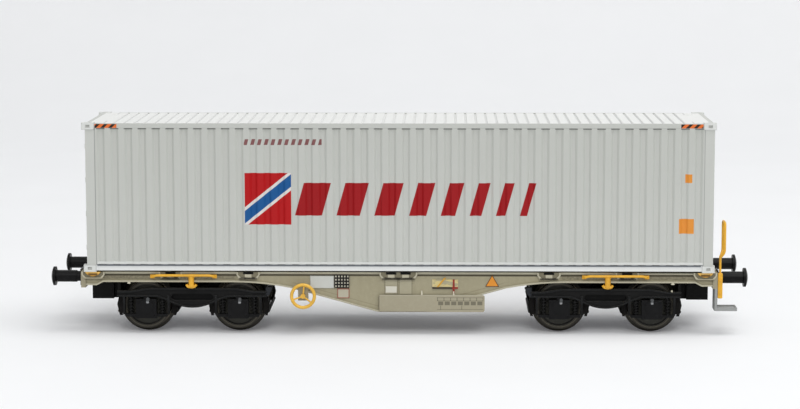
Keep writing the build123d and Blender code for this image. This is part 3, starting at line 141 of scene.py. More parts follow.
class Wire:
    """A value, colour or vector on its way to a shader; arithmetic adds Math nodes."""

    def __init__(self, home, socket):
        self.home = home
        self.socket = socket

    def maths(self, operation, *values, clamp=False):
        settings = {"operation": operation, "use_clamp": clamp}
        return self.home.add("ShaderNodeMath", settings, dict(enumerate(values)))

    def __add__(self, other):
        return self.maths("ADD", self, other)

    def __radd__(self, other):
        return self.maths("ADD", other, self)

    def __sub__(self, other):
        return self.maths("SUBTRACT", self, other)

    def __rsub__(self, other):
        return self.maths("SUBTRACT", other, self)

    def __mul__(self, other):
        return self.maths("MULTIPLY", self, other)

    def __rmul__(self, other):
        return self.maths("MULTIPLY", other, self)

    def __truediv__(self, other):
        return self.maths("DIVIDE", self, other)

    def __rtruediv__(self, other):
        return self.maths("DIVIDE", other, self)

    def __abs__(self):
        return self.maths("ABSOLUTE", self)

    def at_least(self, other):
        return self.maths("MAXIMUM", self, other)

    def at_most(self, other):
        return self.maths("MINIMUM", self, other)

    def over(self, limit, soft):
        """1 above the limit and 0 below it, with a soft edge."""
        return self.maths("ADD", (self - limit) / soft, 0.5, clamp=True)

    def between(self, low, high, soft):
        return self.over(low, soft) * (1 - self.over(high, soft))

    def near(self, middle, reach, soft):
        """1 within a reach of the middle."""
        return 1 - abs(self - middle).over(reach, soft)

    def repeat(self, pitch):
        """Distance to the nearest of the places 0, pitch, 2 pitch and so on."""
        return abs(self.maths("WRAP", self, pitch / 2, -pitch / 2))


class Nodes:
    """The nodes of a material or of the room."""

    def __init__(self, tree):
        self.tree = tree

    def add(self, kind, settings=None, sockets=None, output=0):
        """A node of a kind: its settings first, then values or wires for its sockets."""
        node = self.tree.nodes.new(kind)
        for name, value in (settings or {}).items():
            setattr(node, name, value)
        for name, value in (sockets or {}).items():
            if isinstance(value, Wire):
                self.tree.links.new(value.socket, node.inputs[name])
            else:
                node.inputs[name].default_value = value
        return Wire(self, node.outputs[output])

    def lead(self, wire, node, socket):
        """Links the wire to a socket of a node that is there from the start."""
        self.tree.links.new(wire.socket, self.tree.nodes[node].inputs[socket])

    def in_view(self):
        """1 for what is seen straight or mirrored, and 0 for the light it throws."""
        straight = self.add("ShaderNodeLightPath", output="Is Camera Ray")
        return straight.at_least(self.add("ShaderNodeLightPath", output="Is Glossy Ray"))


class Finish(Nodes):
    """A material; x, y and z are the place on the model in millimetres."""

    def __init__(self, name, **constants):
        self.material = bpy.data.materials.new(name)
        self.material.use_nodes = True
        super().__init__(self.material.node_tree)
        self.shader = self.tree.nodes["Principled BSDF"]
        for socket, value in constants.items():
            self.shader.inputs[socket.replace("_", " ")].default_value = value
        self.place = self.add("ShaderNodeTexCoord", output="Object")
        sockets = {0: self.place, "Scale": 1 / mm}
        scaled = self.add("ShaderNodeVectorMath", {"operation": "SCALE"}, sockets)
        self.x, self.y, self.z = (
            self.add("ShaderNodeSeparateXYZ", {}, {0: scaled}, i) for i in range(3)
        )

    def mix(self, factor, first, second):
        """Colour that goes from first to second as the factor goes from 0 to 1."""
        settings = {"data_type": "RGBA", "clamp_factor": True}
        sockets = {0: factor, 6: tone(first), 7: tone(second)}
        return self.add("ShaderNodeMix", settings, sockets, 2)

    def noise(self, size, detail=3.0, stretch=(1, 1, 1)):
        """Cloudy pattern around 0.5, with blotches of about a size in millimetres."""
        at = self.add("ShaderNodeMapping", {}, {"Vector": self.place, "Scale": stretch})
        sockets = {"Vector": at, "Scale": 1 / mm / size, "Detail": detail, "Roughness": 0.55}
        return self.add("ShaderNodeTexNoise", {"noise_dimensions": "3D"}, sockets)

    def feed(self, socket, wire):
        self.lead(wire, "Principled BSDF", socket)

    def paint(self, pattern, first, second):
        """Covers the surface with two colours that follow a pattern."""
        self.colour = self.mix(pattern, first, second)
        self.feed("Base Color", self.colour)

    def mark(self, where, *colour):
        """Mixes a colour over the surface, as strongly as the wire says."""
        self.paint(where, self.colour, colour)

    def grain(self, pattern, rough, spread, depth):
        """A pattern that makes the surface rougher and stands out by a depth."""
        self.feed("Roughness", rough + spread * pattern)
        self.relief(pattern, depth)

    def relief(self, height, depth):
        """Bump: height from 0 to 1 stands for a depth in millimetres."""
        sockets = {"Height": height, "Distance": depth * mm, "Strength": 1.0}
        self.feed("Normal", self.add("ShaderNodeBump", {}, sockets))

    def put_on(self, *names):
        for name in names:
            self.coat(nodes[name])

    def coat(self, piece):
        piece.data.materials.clear()
        piece.data.materials.append(self.material)


def tone(colour):
    """A colour as it looks, 0 to 255 a channel, turned into light; a wire stays a wire."""
    if isinstance(colour, Wire):
        return colour
    channels = [c / 255 for c in colour]
    return [c / 12.92 if c <= 0.04045 else ((c + 0.055) / 1.055) ** 2.4 for c in channels] + [1]


sheet = Finish("floor_sheet", Roughness=0.9, Specular_IOR_Level=0.1, Emission_Strength=1.0)
sheet.paint(sheet.noise(30.0, 2.0), (234, 235, 236), (237, 238, 239))
sheet.feed("Emission Color", sheet.mix(sheet.in_view(), (0, 0, 0), SHEET_GLOW))
behind = sheet.add("ShaderNodeNewGeometry", output="Backfacing")
covered = Wire(sheet, sheet.shader.outputs["BSDF"])
clear = sheet.add("ShaderNodeBsdfTransparent")
surface = sheet.add("ShaderNodeMixShader", {}, {0: behind, 1: covered, 2: clear})
sheet.lead(surface, "Material Output", "Surface")
sheet.coat(floor)
floor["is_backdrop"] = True

# Light: an even white room with one broad lamp above and one high in front, so
# that shadows stay soft, fall downwards, and level faces are the brightest.
ROOM_LIGHT = 0.44
ROOM_SEEN = 0.84
room = bpy.data.worlds.new("room")
room.use_nodes = True
room.node_tree.nodes["Background"].inputs["Color"].default_value = (1, 1, 1, 1)
room_nodes = Nodes(room.node_tree)
room_strength = room_nodes.in_view() * (ROOM_SEEN - ROOM_LIGHT) + ROOM_LIGHT
room_nodes.lead(room_strength, "Background", "Strength")
scene.world = room
LAMPS = (
    # name, size, power, place, aimed at
    ("lamp_above", 0.9, 6.0, (0.3, -0.2, 1.1), (0, 0, 0)),
    ("lamp_front", 0.6, 5.6, (0.06, -1.1, 0.9), (0, 0, 0.02)),
)
for name, size, power, place, aim in LAMPS:
    lamp_data = bpy.data.lights.new(name, "AREA")
    lamp_data.shape = "DISK"
    lamp_data.size = size
    lamp_data.energy = power
    lamp = bpy.data.objects.new(name, lamp_data)
    scene.collection.objects.link(lamp)
    lamp.location = place
    lamp.rotation_mode = "QUATERNION"
    lamp.rotation_quaternion = (Vector(aim) - Vector(place)).to_track_quat("-Z", "Y")


# Bogies: side frames, transoms, end beams, axle boxes and brake gear of each
# are injection moulded in black plastic, with a fine eroded mould surface
# that looks greyer where dust settles on level faces.
def black_moulding(name, colour, rough, grain_size, grain_depth):
    """Black plastic; its level is 1 on faces that look up."""
    finish = Finish(name, Specular_IOR_Level=0.12)
    clouds = finish.noise(2.6, 4.0)
    fine = finish.noise(grain_size, 2.0)
    facing = finish.add("ShaderNodeNewGeometry", output="Normal")
    finish.level = finish.add("ShaderNodeSeparateXYZ", {}, {0: facing}, 2)
    finish.paint(clouds.over(0.5, 0.5) * 0.5, colour, [c + 9 for c in colour])
    finish.mark(finish.level.over(0.85, 0.3) * clouds.over(0.45, 0.3) * 0.22, 62, 60, 56)
    finish.grain(fine, rough - 0.08, 0.16, grain_depth)
    return finish


SIDES = (("left", -1), ("right", 1))
FRAME_BACK = 10.9
FRAME_FACE = 11.7
FRAME_RIM = 12.05
WINDOW_LOW = 6.9
WINDOW_HIGH = 9.2
frame_black = black_moulding("bogie_black", (19, 19, 19), 0.55, 0.16, 0.012)
frame_out = abs(frame_black.y)
window_shade = frame_black.z.between(WINDOW_LOW, WINDOW_HIGH, 0.1)
window_shade = window_shade * frame_out.between(FRAME_BACK, FRAME_FACE - 0.08, 0.04)
rim_highlight = frame_out.over(FRAME_RIM - 0.06, 0.04) * frame_black.z.over(WINDOW_LOW, 0.1)
# Painted light on the side frames: painted shade makes the recessed windows near black, and a
# painted highlight lightens the outer rims and the faces that look up.
frame_black.mark(window_shade * 0.9, 2, 2, 2)
frame_black.mark(rim_highlight * 0.6, 34, 35, 36)
frame_black.mark(frame_black.level.over(0.7, 0.3) * 0.45, 96, 96, 94)
box_black = black_moulding("axle_box_black", (17, 17, 18), 0.55, 0.2, 0.012)
shoe_black = black_moulding("brake_shoe_black", (17, 15, 14), 0.62, 0.3, 0.03)
for side, sign in SIDES:
    bogie = f"bogie_{side}"
    frame_black.put_on(f"{bogie}_side_frames", f"{bogie}_transom", f"{bogie}_end_beams")
    box_black.put_on(f"{bogie}_axle_boxes")
    shoe_black.put_on(f"{bogie}_brake_shoes")


# Axle-box springs: coils of round wire either side of each axle box, standing
# on its seats and reaching up to the side frame; black like the frames.
PIVOT_X = 46.15
AXLE_X = 10.3
AXLE_Z = 6.185
SPRING_X = 3.5
SPRING_Y = 11.375
SPRING_LOW = 4.4
SPRING_OUTER_TOP = 8.3
SPRING_INNER_TOP = 7.66
SPRING_RADIUS = 0.56
SPRING_WIRE = 0.15
SPRING_TURNS = 5
POST_RADIUS = 0.34


def settle(piece, name):
    """Puts the piece's place into its mesh and names it."""
    begin(piece)
    bpy.ops.object.transform_apply(location=True, rotation=True, scale=True)
    piece.name = name
    return piece


def copy(piece, move=(0, 0, 0), turn=0):
    """A copy with its own mesh, turned about the model's upright axis, then moved."""
    twin = piece.copy()
    twin.data = piece.data.copy()
    place = Matrix.Translation([m * mm for m in move])
    twin.data.transform(place @ Matrix.Rotation(radians(turn), 4, "Z"))
    scene.collection.objects.link(twin)
    return twin


def join(name, pieces):
    begin(*pieces)
    bpy.ops.object.join()
    pieces[0].name = name
    return pieces[0]


def spring(low, top):
    """A round wire section screwed upwards, its ends closed, round a guide post."""
    begin()
    bpy.ops.mesh.primitive_circle_add(
        vertices=8, radius=SPRING_WIRE * mm, fill_type="NOTHING", rotation=(pi / 2, 0, 0),
        location=(SPRING_RADIUS * mm, 0, (low + SPRING_WIRE) * mm),
    )
    coil = settle(bpy.context.object, "coil")
    screw = coil.modifiers.new("screw", "SCREW")
    screw.axis = "Z"
    screw.angle = tau
    screw.steps = screw.render_steps = 14
    screw.iterations = SPRING_TURNS
    screw.screw_offset = (top - low - 2 * SPRING_WIRE) / SPRING_TURNS * mm
    screw.use_merge_vertices = True
    bpy.ops.object.modifier_apply(modifier="screw")
    edit(coil, "EDGE", lambda middle, along: False)
    bpy.ops.mesh.select_non_manifold()
    bpy.ops.mesh.fill_holes(sides=0)
    bpy.ops.mesh.select_all(action="SELECT")
    bpy.ops.mesh.normals_make_consistent(inside=False)
    bpy.ops.object.mode_set(mode="OBJECT")
    bpy.ops.object.shade_smooth()
    begin()
    bpy.ops.mesh.primitive_cylinder_add(
        vertices=12, radius=POST_RADIUS * mm, depth=(top - low) * mm,
        location=(0, 0, (low + top) / 2 * mm),
    )
    post = settle(bpy.context.object, "post")
    edit(post, "FACE", lambda middle, normal: abs(normal.z) > 0.9)
    bpy.ops.mesh.inset(thickness=0.1 * mm)
    return join("coil", [coil, post])


outer_coil = spring(SPRING_LOW, SPRING_OUTER_TOP)
inner_coil = spring(SPRING_LOW, SPRING_INNER_TOP)
spring_black = black_moulding("spring_black", (20, 20, 20), 0.42, 0.2, 0.008)
for side, sign in SIDES:
    coils = []
    for axle in (-1, 1):
        for across in (-1, 1):
            x, y = sign * PIVOT_X + axle * AXLE_X, across * SPRING_Y
            coils.append(copy(outer_coil, (x + axle * SPRING_X, y, 0), 90 * across))
            coils.append(copy(inner_coil, (x - axle * SPRING_X, y, 0), -90 * across))
    springs = join(f"springs_{side}", coils)
    spring_black.coat(springs)
    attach(springs, f"bogie_{side}")
    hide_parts(f"bogie_{side}_springs")
bpy.data.objects.remove(outer_coil)
bpy.data.objects.remove(inner_coil)


# Axle-box bolts: four hexagon heads round the cover of each axle box,
# moulded with the box.
COVER_FACE = 12.4
COVER_Z = AXLE_Z - 0.6
BOLT_X = 1.8
BOLT_Z = 1.55


def bolt(radius, height, out):
    """A six-sided head with a chamfered crown, its foot at the origin, facing along y."""
    begin()
    bpy.ops.mesh.primitive_cylinder_add(
        vertices=6, radius=radius * mm, depth=height * mm, rotation=(pi / 2, 0, 0),
        location=(0, out * height / 2 * mm, 0),
    )
    head = settle(bpy.context.object, "bolt")
    edit(head, "FACE", lambda middle, normal: normal.y * out > 0.9)
    bpy.ops.mesh.inset(thickness=radius * 0.25 * mm)
    bpy.ops.transform.translate(value=(0, out * height * 0.3 * mm, 0))
    begin()
    return head


for side, sign in SIDES:
    bolts = []
    for across in (-1, 1):
        head = bolt(0.2, 0.14, across)
        for axle in (-1, 1):
            for dx in (-BOLT_X, BOLT_X):
                for dz in (-BOLT_Z, BOLT_Z):
                    x = sign * PIVOT_X + axle * AXLE_X + dx
                    bolts.append(copy(head, (x, across * COVER_FACE, COVER_Z + dz)))
        bpy.data.objects.remove(head)
    bolts = join(f"axle_box_bolts_{side}", bolts)
    box_black.coat(bolts)
    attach(bolts, f"bogie_{side}")


# Wheelsets: turned steel tyres, chemically browned, with bright treads; the
# recessed wheel discs are a shade warmer, and the axles are plain steel.
DISC_RADIUS = 4.35
WHEEL_FACE = 9.93


def wheel_steel(number, x):
    finish = Finish(f"wheel_steel_{number}", Specular_IOR_Level=0.5)
    from_axle = finish.add("ShaderNodeCombineXYZ", {}, {0: finish.x - x, 1: finish.z - AXLE_Z})
    radius = finish.add("ShaderNodeVectorMath", {"operation": "LENGTH"}, {0: from_axle}, "Value")
    lathe = finish.add("ShaderNodeCombineXYZ", {}, {0: radius * 9.0, 1: abs(finish.y) * 9.0})
    sockets = {"Vector": lathe, "Scale": 1.0}
    turning = finish.add("ShaderNodeTexNoise", {"noise_dimensions": "2D"}, sockets)
    clouds = finish.noise(1.4, 4.0)
    tread = radius.between(5.2, 5.45, 0.06) * (1 - abs(finish.y).over(WHEEL_FACE, 0.06))
    rim = radius.over(DISC_RADIUS, 0.1)
    disc = finish.mix(clouds, (34, 34, 27), (52, 51, 41))
    finish.paint(rim, disc, finish.mix(turning, (38, 36, 30), (56, 52, 44)))
    # Painted shade: a dark ring at the inner edge of the tyre; painted highlight: a pale ring on
    # the tyre face.
    finish.mark(radius.between(4.25, 4.5, 0.08) * 0.8, 14, 14, 12)
    finish.mark(radius.between(4.75, 4.95, 0.08) * 0.6, 92, 88, 76)
    finish.mark(tread, 104, 98, 88)
    finish.feed("Metallic", 0.15 + 0.35 * rim + 0.4 * tread)
    finish.feed("Roughness", 0.5 - 0.12 * rim - 0.1 * tread + 0.12 * turning)
    finish.relief(turning, 0.01)
    return finish


for number in range(1, 5):
    side = -1 if number < 3 else 1
    axle = -1 if number % 2 else 1
    steel = wheel_steel(number, side * PIVOT_X + axle * AXLE_X)
    steel.put_on(f"wheels_{number}", f"axle_{number}")

# Couplers and buffers: smooth black mouldings; the buffers are a little
# glossier.
coupler_black = black_moulding("coupler_black", (13, 13, 13), 0.45, 0.35, 0.006)
coupler_black.put_on("coupler_left", "coupler_right")
buffer_black = black_moulding("buffer_black", (13, 13, 14), 0.36, 0.3, 0.005)
buffer_black.put_on("buffers_left", "buffers_right")

# Brake gear under the middle of the frame: the air tank and the cylinder are
# one-piece black mouldings plugged into the frame's bearers.
gear_black = black_moulding("brake_gear_black", (16, 16, 15), 0.5, 0.25, 0.01)
gear_black.put_on("air_reservoir", "brake_cylinder")


# Grey caps: a small domed cap stands out above the cover of each axle box,
# where the box meets the side frame; they are unpainted grey plastic, worn
# pale at the foot.
CAP_LOW = 6.9
CAP_HIGH = 8.2
CAP_SUNK = 0.25
CAP_SHIFTS = {(-1, -1): 0.35, (-1, 1): 0.35, (1, -1): 0.35, (1, 1): 0.0}
CAP_PROFILE = (
    (0.42, CAP_LOW), (0.5, CAP_LOW + 0.1), (0.5, CAP_HIGH - 0.5), (0.4, CAP_HIGH - 0.2),
    (0.2, CAP_HIGH),
)


def turned(name, profile, segments=20):
    """Solid of revolution about the upright axis; the profile is (radius, height)."""
    begin()
    radius, height = profile[0]
    bpy.ops.mesh.primitive_circle_add(
        vertices=segments, radius=radius * mm, location=(0, 0, height * mm), fill_type="NGON"
    )
    piece = settle(bpy.context.object, name)
    bpy.ops.object.mode_set(mode="EDIT")
    bpy.ops.mesh.select_all(action="SELECT")
    for (radius, height), (wider, higher) in zip(profile, profile[1:]):
        rise, grow = (0, 0, (higher - height) * mm), wider / radius
        bpy.ops.mesh.extrude_region_move(TRANSFORM_OT_translate={"value": rise})
        bpy.ops.transform.resize(value=(grow, grow, 1), center_override=(0, 0, higher * mm))
    bpy.ops.mesh.select_all(action="SELECT")
    bpy.ops.mesh.normals_make_consistent(inside=False)
    bpy.ops.object.mode_set(mode="OBJECT")
    bpy.ops.object.shade_smooth_by_angle(angle=radians(40))
    return piece


cap = turned("cap", CAP_PROFILE)
cap_grey = Finish("cap_grey", Specular_IOR_Level=0.3)
cap_clouds = cap_grey.noise(0.5, 3.0)
cap_grey.paint(cap_clouds, (62, 64, 66), (88, 90, 92))
cap_grey.mark((1 - cap_grey.z.over(CAP_LOW + 0.4, 0.3)) * 0.8, 168, 170, 172)
cap_grey.grain(cap_clouds, 0.5, 0.2, 0.03)
for side, sign in SIDES:
    caps = []
    for axle in (-1, 1):
        x = sign * PIVOT_X + axle * AXLE_X + CAP_SHIFTS[sign, axle]
        caps += [copy(cap, (x, y, 0)) for y in (CAP_SUNK - COVER_FACE, COVER_FACE - CAP_SUNK)]
    caps = join(f"axle_box_caps_{side}", caps)
    cap_grey.coat(caps)
    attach(caps, f"bogie_{side}")
bpy.data.objects.remove(cap)


# Inner hangers: a bevelled bracket closes the inner end of each side frame,
# moulded with it; its plastic is painted greyer than the frame, as a painted
# highlight on the frame's inner end.
def block(name, x, y, z, bevel):
    """Bar or plate between three pairs of limits, all its edges rounded over."""
    begin()
    size = [abs(b - a) * mm for a, b in (x, y, z)]
    place = [(a + b) / 2 * mm for a, b in (x, y, z)]
    bpy.ops.mesh.primitive_cube_add(size=1, location=place)
    piece = bpy.context.object
    bpy.ops.object.mode_set(mode="EDIT")
    bpy.ops.mesh.select_all(action="SELECT")
    bpy.ops.transform.resize(value=size, center_override=place)
    bpy.ops.mesh.bevel(offset=bevel * mm, segments=2, affect="EDGES")
    return settle(piece, name)


HANGER_X = (28.1, 29.7)
HANGER_Y = (10.8, 12.0)
HANGER_Z = (8.6, 10.65)
HANGER_SLANT = 0.7
hanger_black = black_moulding("inner_hanger_black", (44, 46, 50), 0.5, 0.3, 0.01)
for side, sign in SIDES:
    hangers = []
    for across in (-1, 1):
        x, y = [sign * a for a in HANGER_X], [across * a for a in HANGER_Y]
        hanger = block("hanger", x, y, HANGER_Z, 0.3)
        edit(hanger, "VERT", lambda place, normal: place.z < 9.2 and abs(place.x) < 29.0)
        bpy.ops.transform.translate(value=(sign * HANGER_SLANT * mm, 0, 0))
        hangers.append(hanger)
    hangers = join(f"bogie_inner_hangers_{side}", hangers)
    hanger_black.coat(hangers)
    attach(hangers, f"bogie_{side}")


# Frame interior: bolsters, draft sills and brake bearers are black mouldings
# clipped between the sills; their near black also serves as painted shade under
# the sills, in which they cannot be told apart.
inner_black = black_moulding("inner_frame_black", (14, 14, 14), 0.6, 0.3, 0.01)
inner_black.put_on("bolsters", "draft_sills", "brake_bearers")


# Wagon frame: sills, headstocks and cross members are one metal casting,
# sprayed matt beige grey. On the sills a painted highlight lightens the flanges,
# and painted shade darkens their edges and ends, the web under the top flange
# and the upper web of the straight parts, there mixed with dark marks.
WEB_FACE = 12.95
FLANGE_LOW = 13.64
FLANGE_SHADE = 0.45
BELLY_FLAT = 4.6
BELLY_LOW = 5.2
BELLY_SLOPE = 5.35 / 19.4
BELLY_END = 23.5
FLANGE_EDGE_UP = 1.3
FOOT_END = 69.66
END_SHADE_FROM = 36.2
END_SHADE_Z = (12.35, 13.6)


def frame_paint(name, colour):
    finish = Finish(name, Specular_IOR_Level=0.3)
    clouds = finish.noise(9.0, 4.0, (0.4, 1, 1))
    fine = finish.noise(0.22, 2.0)
    spray = finish.noise(0.8, 3.0)
    finish.paint(clouds.over(0.5, 0.6), [c - 9 for c in colour], colour)
    finish.mark(spray.over(0.62, 0.3) * 0.4, *(c + 7 for c in colour))
    finish.feed("Roughness", 0.55 + 0.2 * fine)
    finish.relief(fine + 0.5 * spray, 0.01)
    return finish


sill_paint = frame_paint("sill_paint", (170, 163, 137))
sill_x, sill_out, sill_z = abs(sill_paint.x), abs(sill_paint.y), sill_paint.z
flange = sill_out.over(WEB_FACE, 0.04)
under_flange = sill_z.between(FLANGE_LOW - FLANGE_SHADE, FLANGE_LOW, 0.1)
under_flange = under_flange * (1 - sill_out.over(WEB_FACE, 0.06))
flange_line = flange * sill_z.between(FLANGE_LOW - 0.05, FLANGE_LOW + 0.14, 0.06)
runs = sill_paint.noise(1.1, 3.0, (1, 1, 0.15)).over(0.6, 0.4)
over_belly = sill_z - (sill_x - BELLY_FLAT).at_least(0.0) * BELLY_SLOPE
on_slope = 1 - sill_x.over(BELLY_END, 1.0)
flange_edge_shade = over_belly.near(BELLY_LOW + FLANGE_EDGE_UP, 0.09, 0.08) * on_slope
low_edge_shade = (1 - over_belly.over(BELLY_LOW + 0.08, 0.08)) * on_slope
smudges = sill_paint.noise(0.55, 3.0, (1, 1, 1.6)).over(0.5, 0.3)
end_shade_and_marks = sill_x.over(END_SHADE_FROM, 0.8) * (1 - flange) * sill_z.between(*END_SHADE_Z, 0.4)
towards_right = sill_paint.x * (1 - 2 * sill_paint.y.over(0.0, 0.1))
top_gap = flange * towards_right.over(50.0, 8.0) * sill_z.over(FLANGE_LOW + 0.33, 0.05)
sill_paint.mark(runs * 0.12, 120, 112, 88)
# Painted highlight on the flange faces. Painted shade along the upper edge of the sloped lower
# flange, along the sloped lower edge and the sill ends, under the top flange and along its lower
# edge, on the upper web of the straight end parts with dark marks mixed in, and on the flange top
# at the right end.
sill_paint.mark(flange * 0.6, 196, 192, 172)
sill_paint.mark(flange_edge_shade * 0.25, 92, 84, 58)
sill_paint.mark((low_edge_shade + sill_x.over(FOOT_END, 0.06)) * 0.5, 92, 86, 64)
sill_paint.mark(under_flange * 0.85, 52, 47, 34)
sill_paint.mark(flange_line * 0.5, 92, 86, 70)
sill_paint.mark(end_shade_and_marks * (0.3 + 0.35 * smudges), 66, 60, 44)
sill_paint.mark(top_gap * 0.85, 22, 21, 18)
sill_paint.put_on("side_sill_near", "side_sill_far")
frame_beige = frame_paint("frame_beige", (164, 157, 134))
frame_beige.put_on("headstock_left", "headstock_right", "cross_members")
frame_beige.put_on("corner_seats", "handwheel_brackets")

# Lock trays: cast with the sills, each with a raised rim and open slots in
# its upper edge, through which the folding container locks come up. Painted
# shade darkens the sunk face, the foot of the tray, the slots and the edges of
# the stems, mottled with grime under the slots; a painted highlight lightens the rim.
TRAY_BACK = 13.0
TRAY_FACE = 13.35
TRAY_LOW = 12.5
TRAY_SLOTS = (-50.8, -33.45, -1.6, 1.6, 33.45, 50.8)
SLOT_LOW = 13.62
SLOT_HALF = 1.15
FOOT_SHADE_HALF = 1.5
SHADE_HALF = 2.0
STEM_X = 1.6
STEM_HALF = 1.475
STEM_LOW = 9.1
tray_paint = frame_paint("tray_paint", (176, 170, 146))
tray_out, tray_z = abs(tray_paint.y), tray_paint.z


def at_slots(half, soft):
    """1 within half a width of any of the slots."""
    spots = [tray_paint.x.near(place, half, soft) for place in TRAY_SLOTS]
    return sum(spots[1:], spots[0])


tray = tray_out.over(TRAY_BACK, 0.04) * tray_z.over(TRAY_LOW - 0.05, 0.04)
rim = tray_out.over(TRAY_FACE - 0.03, 0.02) * tray_z.over(12.9, 0.2)
slots = at_slots(SLOT_HALF, 0.06) * tray_z.over(SLOT_LOW, 0.05)
slots = slots * (1 - tray_out.over(TRAY_FACE - 0.05, 0.04))
mottle = tray_paint.noise(0.7, 2.0).over(0.38, 0.3)
foot_shade_and_grime = at_slots(FOOT_SHADE_HALF, 0.3) * tray_z.between(12.4, 12.98, 0.16) * tray * mottle
shade = at_slots(SHADE_HALF, 0.2) * tray * tray_z.between(12.3, 12.88, 0.16)
stems = abs(abs(tray_paint.x) - STEM_X).near(STEM_HALF, 0.13, 0.06)
stems = stems * (1 - tray_out.over(WEB_FACE, 0.04)) * tray_z.between(STEM_LOW, 12.6, 0.1)
# Painted shade on the sunk face and the foot, a painted highlight on the rim, painted shade
# mottled with grime under the slots and along the stem edges, and the slots painted near black as
# painted shade.
tray_paint.mark(tray * (1 - tray_out.over(TRAY_FACE - 0.06, 0.04)) * 0.7, 98, 92, 72)
tray_paint.mark(rim * 0.45, 204, 200, 180)
tray_paint.mark(tray * (1 - tray_z.over(12.62, 0.1)) * 0.7, 66, 60, 44)
tray_paint.mark(foot_shade_and_grime * 0.85, 46, 42, 30)
tray_paint.mark(shade * (0.65 + 0.35 * mottle) * 0.85, 34, 31, 22)
tray_paint.mark(stems * 0.55, 74, 68, 50)
tray_paint.mark(slots, 8, 8, 7)
tray_paint.put_on("lock_pockets_near", "lock_pockets_far")

# Lock tips: in each open slot the upper end of a folded container lock
# shows as a low rounded block, coloured near black as painted shade for the slot.
TIP_HALF = 0.95
tips = []
for place in TRAY_SLOTS:
    for side in (-1, 1):
        x, y = (place - TIP_HALF, place + TIP_HALF), (side * 12.7, side * 13.28)
        tips.append(block("tip", x, y, (13.72, 14.06), 0.1))
lock_tips = join("lock_tips", tips)
tip_black = black_moulding("lock_tip_black", (10, 10, 10), 0.6, 0.3, 0.02)
tip_black.coat(lock_tips)
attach(lock_tips, "underframe")

# Label clips: pierced plates, printed black, that stand in front of a cream
# backing; its print follows the bars of the clip.
BACKING_X = (-14.2, -11.0)
BACKING_Y = (-12.9, -12.72)
BACKING_Z = (10.58, 13.36)
GRID_X = 0.66
GRID_Z = 0.725
clip_black = frame_paint("label_clip_black", (26, 25, 22))
clip_black.put_on("label_grids")


def both_sides(name, pieces):
    """The pieces, made for the near side, and their like on the far side."""
    whole = join(name, pieces)
    twin = copy(whole, turn=180)
    return join(name, [whole, twin])


backing = both_sides(
    "label_clip_backing", [block("backing", BACKING_X, BACKING_Y, BACKING_Z, 0.03)]
)
cream = Finish("label_backing_cream", Specular_IOR_Level=0.3)
cream_clouds = cream.noise(0.9, 3.0)
openings = (abs(cream.x) - 10.95).repeat(GRID_X).over(0.17, 0.05)
openings = openings * (cream.z - 13.5).repeat(GRID_Z).over(0.17, 0.05)
behind_clip = abs(cream.x).between(10.9, 14.3, 0.05) * cream.z.between(10.5, 13.5, 0.05)
cream.paint(cream_clouds, (214, 209, 188), (228, 224, 206))
cream.mark(behind_clip * (1 - openings), 30, 29, 25)
cream.grain(cream_clouds, 0.55, 0.2, 0.01)
cream.coat(backing)
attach(backing, "underframe")

# Small plates: thin bare plates with a printed border, glued to the sills: a
# white one beside each clip, one edged in red below it, and a pale one near
# the middle.
PLATES = (
    # piece, finish, distances across, depths, heights, bevel, colour, edge, border
    ("white_plate", "plate_white", (14.35, 19.7), (-12.93, -12.68), (10.45, 13.3), 0.06,
     (206, 208, 202), 0.12, (172, 172, 162)),
    ("red_edged_plate", "plate_red_edged", (10.95, 13.6), (-12.88, -12.68), (8.25, 10.4), 0.05,
     (186, 180, 160), 0.15, (150, 62, 50)),
    ("pale_plate", "plate_pale", (0.3, 2.9), (-13.0, -12.8), (9.46, 11.04), 0.05,
     (214, 211, 198), 0.1, (186, 180, 160)),
)
for name, finish_name, (near, far), depths, (low, high), bevel, colour, edge, border in PLATES:
    plate = both_sides(name, [block("plate", (-far, -near), depths, (low, high), bevel)])
    printed = Finish(finish_name, Specular_IOR_Level=0.35)
    print_fine = printed.noise(0.3, 2.0)
    print_clouds = printed.noise(1.5, 3.0)
    printed.paint(print_clouds.over(0.5, 0.5), [c - 5 for c in colour], colour)
    inside = abs(printed.x).between(near + edge, far - edge, 0.05)
    inside = inside * printed.z.between(low + edge, high - edge, 0.05)
    printed.mark(1 - inside, *border)
    printed.grain(print_fine, 0.42, 0.2, 0.005)
    printed.coat(plate)
    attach(plate, "underframe")

# Triangle: an orange plate with a darker edge, stuck to the sill where it
# rises towards the right-hand bogie.
TRIANGLE_PLACE = (20.85, -12.78, 11.8)
TRIANGLE_RADIUS = 1.75
begin()
bpy.ops.mesh.primitive_cylinder_add(
    vertices=3, radius=TRIANGLE_RADIUS * mm, depth=0.2 * mm, rotation=(pi / 2, 0, 0),
    location=[c * mm for c in TRIANGLE_PLACE],
)
triangle = settle(bpy.context.object, "orange_triangle")
edit(triangle, "FACE", lambda middle, normal: normal.y < -0.9)
bpy.ops.mesh.inset(thickness=0.2 * mm)
bpy.ops.transform.translate(value=(0, -0.04 * mm, 0))
triangle = both_sides("orange_triangle", [triangle])
plate_orange = Finish("plate_orange", Specular_IOR_Level=0.35)
orange_fine = plate_orange.noise(0.3, 3.0)
raised = abs(plate_orange.y).over(12.905, 0.01)
plate_orange.paint(raised, (84, 48, 22), (226, 146, 48))
plate_orange.grain(orange_fine, 0.42, 0.2, 0.005)
plate_orange.coat(triangle)
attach(triangle, "underframe")

